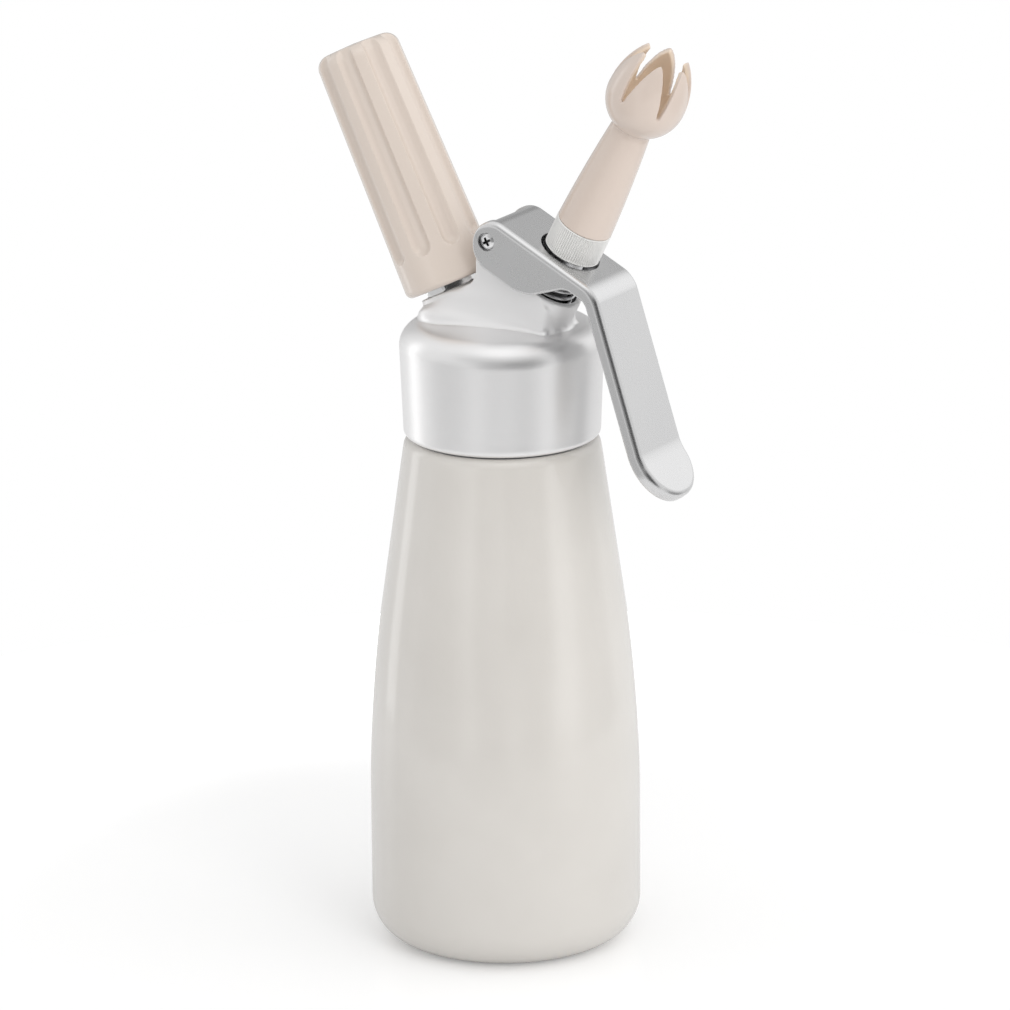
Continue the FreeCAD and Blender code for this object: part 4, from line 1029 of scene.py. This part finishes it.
stem_mesh = combined(
    spun([
        (0, -42.05), (3.6, -42.05, 0.3), (3.6, -35.75), (4.5, -35.75, 0.2), (4.5, -1.0),
        (8.4, -1.0, 0.4), (8.4, 1.0, 0.4), (5.0, 1.0), (5.0, 6.4), (4.5, 6.9),
        (4.5, 16.6), (4.1, 17.0), (2.2, 17.0), (2.2, -35.35), (0, -35.35),
    ], steps=96),
    "UNION", threaded(core=4.5, crest=4.98, pitch=1.25, low=7.2, high=16.4),
)
PORT_RADIUS = 1.2
port_place = Matrix.Translation((0, 0, -33.65))
ports = [
    peg(PORT_RADIUS, -6, 6, port_place @ turn @ ACROSS, steps=32)
    for turn in (Matrix(), Matrix.Rotation(math.radians(90), 4, "Z"))
]
stem_mesh = combined(stem_mesh, "DIFFERENCE", *ports)
stem = finished(stem_mesh, "valve_stem_turned", steel, UPRIGHT @ VALVE)
fit(stem, "valve", "steel", "valve_stem")
dress(steel, "valve_nut")
dress(brass("bush_brass"), "stem_bush")
dress(black_rubber, "stem_o_ring", "valve_seal")

# ---- Valve spring --------------------------------------------------------------------
# Cold-wound spring of round steel wire in the open boss, modelled at one length; the real
# one shortens when the lever pushes the stem's flange down.

SPRING_LOW = -17.85
SPRING_HIGH = -1.15
SPRING_RADIUS = 6.1
SPRING_TURNS = 6.5
WIRE = 0.55
WIRE_SIDES = 12
spring_mesh = bmesh.new()
rise = (SPRING_HIGH - SPRING_LOW - 2 * WIRE) / SPRING_TURNS
wire_angles = [step * math.tau / WIRE_SIDES for step in range(WIRE_SIDES)]
wire_section = [
    (SPRING_RADIUS + WIRE * math.cos(angle), SPRING_LOW + WIRE + WIRE * math.sin(angle))
    for angle in wire_angles
]
helix_ridge(spring_mesh, wire_section, rise, SPRING_TURNS, steps=60)
bmesh.ops.recalc_face_normals(spring_mesh, faces=spring_mesh.faces[:])
spring_wire = bright_metal(
    "spring_wire", (0.50, 0.50, 0.51, 1), (0.64, 0.64, 0.65, 1), 0.18
)
spring = finished(spring_mesh, "valve_spring_wound", spring_wire, UPRIGHT @ VALVE)
fit(spring, "head", "steel", "valve_spring")
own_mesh(spring)

# ---- Tip collar ----------------------------------------------------------------------
# Aluminium collar of the decorating tip, with a fine straight knurl between two plain
# chamfers. It screws onto the stem, and its spigot holds the plastic tip.


def knurled_aluminium():
    """Pale satin aluminium with a fine, even grain."""
    metal = Finish("collar_aluminium", Metallic=0.55)
    cloud = metal.noise(260.0, 3.0, 0.55)
    grain = metal.noise(2600.0, 2.0, 0.6)
    metal.feed(
        Base_Color=metal.mix(cloud, (0.86, 0.855, 0.84, 1), (0.93, 0.925, 0.91, 1)),
        Roughness=cloud * 0.08 + grain * 0.06 + 0.30,
    )
    metal.bump(grain, 0.000008)
    return metal.material


KNURLS = 72
KNURL_DEPTH = 0.52
KNURL_LOW = 8.1
KNURL_HIGH = 16.6
collar_mesh = spun([
    (5.06, 7.95), (5.46, 7.45), (8.0, 7.45), (8.4, 7.85), (8.4, 8.0), (8.4, 8.2),
    (8.4, 16.5), (8.4, 16.65), (8.4, 16.75), (8.2, 16.95), (6.4, 16.95), (6.4, 22.95),
    (3.4, 22.95), (3.4, 19.0), (5.06, 19.0),
], steps=KNURLS * 8)
for vert in collar_mesh.verts:
    radius = vert.co.xy.length
    if radius > 8.3 and KNURL_LOW < vert.co.z < KNURL_HIGH:
        angle = math.atan2(vert.co.y, vert.co.x)
        vert.co.xy *= 1 - KNURL_DEPTH * (0.5 - 0.5 * math.cos(angle * KNURLS)) / radius
collar = finished(collar_mesh, "tip_collar_knurled", knurled_aluminium(), UPRIGHT @ VALVE)
fit(collar, "tip", "collar", "tip_collar")
dress(black_rubber, "tip_seal")

# ---- Decorating tip ------------------------------------------------------------------
# Moulded plastic tube that narrows to a waist and opens into a bulb, slit into six
# petals with rounded tips that shape the cream.

PETALS = 6
SLIT_TURN = math.radians(20)
TUBE_FOOT = 16.97
TUBE_RADIUS = 8.35
TUBE_TAPER = 2.45
TUBE_SWELL = 1.15
WAIST = 51.2
BULB_FOOT = 51.24
BULB_LEVEL = 61.5
BULB = 11.72
PETAL_ARC = 25.15
HOLLOW_FOOT = 52.2
HOLLOW = 9.95
HOLLOW_ARC = 23.4
HOLLOW_ARC_INSET = 13.45
TIP_TOP = 77.0
TIP_VOXEL = 0.30
TIP_ROUNDS = 5


def bulb_radius(level):
    """Outside of the bulb: round below its widest ring, a flatter arc above it."""
    if level < BULB_LEVEL:
        return math.sqrt(max(0.0, BULB**2 - (BULB_LEVEL - level) ** 2))
    return math.sqrt(PETAL_ARC**2 - (level - BULB_LEVEL) ** 2) - PETAL_ARC + BULB


def bulb_inside(level):
    """Inside of the bulb, made like its outside."""
    if level < BULB_LEVEL:
        return math.sqrt(max(0.0, HOLLOW**2 - (BULB_LEVEL - level) ** 2))
    return math.sqrt(HOLLOW_ARC**2 - (level - BULB_LEVEL) ** 2) - HOLLOW_ARC_INSET


def tube_radius(level):
    """Outside of the tube: a long arc, full at its foot and narrow at the waist."""
    share = (level - TUBE_FOOT) / (WAIST - TUBE_FOOT)
    return TUBE_RADIUS - TUBE_TAPER * share + TUBE_SWELL * share * (1 - share)


def evenly(first, last, count):
    """Levels from first to last, count equal steps apart."""
    return [first + (last - first) * step / count for step in range(count + 1)]


tip_shape = [
    *[(tube_radius(level), level) for level in evenly(TUBE_FOOT, WAIST, 24)[:-1]],
    *[(bulb_radius(level), level) for level in evenly(BULB_FOOT, TIP_TOP, 48)],
    *[(bulb_inside(level), level) for level in evenly(TIP_TOP, HOLLOW_FOOT, 40)],
    (3.4, 51.9), (3.4, 23.0), (6.42, 23.0), (6.42, TUBE_FOOT),
]
slit_shape = [
    (0, 59.4, 0.5), (2.0, 71.4, 5.0), (2.9, 75.0, 2.5), (5.4, 78.2), (-5.4, 78.2),
    (-2.9, 75.0, 2.5), (-2.0, 71.4, 5.0),
]
tip_exact = spun(tip_shape, steps=192)
tip_mesh = tip_exact.copy()
for index in range(PETALS):
    turn = Matrix.Rotation(math.tau * index / PETALS + SLIT_TURN, 4, "Z")
    slit = slab(slit_shape, 1.0, 16.0, turn @ Matrix.Rotation(math.radians(-90), 4, "Z"))
    tip_mesh = combined(tip_mesh, "DIFFERENCE", slit)
tip_mesh = worked(tip_mesh, "REMESH", mode="VOXEL", voxel_size=TIP_VOXEL)
softened(tip_mesh, tip_mesh.verts[:], TIP_ROUNDS)
settle(tip_mesh, tip_exact, near=0.06, far=0.16)
tip_exact.free()


MID_WALL = 0.0109  # about half way through the bulb's wall, in metres


def painted_glow_inside(skin, outside):
    """Paints a warm glow inside the tulip: painted light, for light through the thin
    plastic.
    """
    local = skin.node(
        "ShaderNodeMapping", {"vector_type": "TEXTURE"}, skin.place,
        Location=tuple(UPRIGHT @ VALVE @ Vector((0, 0, BULB_LEVEL))),
        Rotation=(0, math.radians(VALVE_LEAN), 0), Scale=(MID_WALL, MID_WALL, MID_WALL),
    )
    above = skin.node("ShaderNodeSeparateXYZ", {}, local, out="Z").math("MAXIMUM", 0.0)
    squashed = skin.node(
        "ShaderNodeVectorMath", {"operation": "MULTIPLY_ADD"},
        skin.node("ShaderNodeCombineXYZ", {}, 0.0, 0.0, above), (0, 0, -0.4), local,
    )
    reach = skin.node(
        "ShaderNodeVectorMath", {"operation": "LENGTH"}, squashed, out="Value"
    )
    return skin.mix(skin.fade(reach, 0.93, 1.02), (0.86, 0.72, 0.58, 1), outside)


# The tip's plastic carries a painted warm glow on the inside of the tulip.
tip_plastic = beige_plastic(
    "tip_plastic", (0.700, 0.592, 0.518, 1), (0.660, 0.552, 0.480, 1), painted_glow_inside
)
tip = finished(tip_mesh, "tip_tulip", tip_plastic, UPRIGHT @ VALVE)
fit(tip, "tip", "tip", "tip_body")
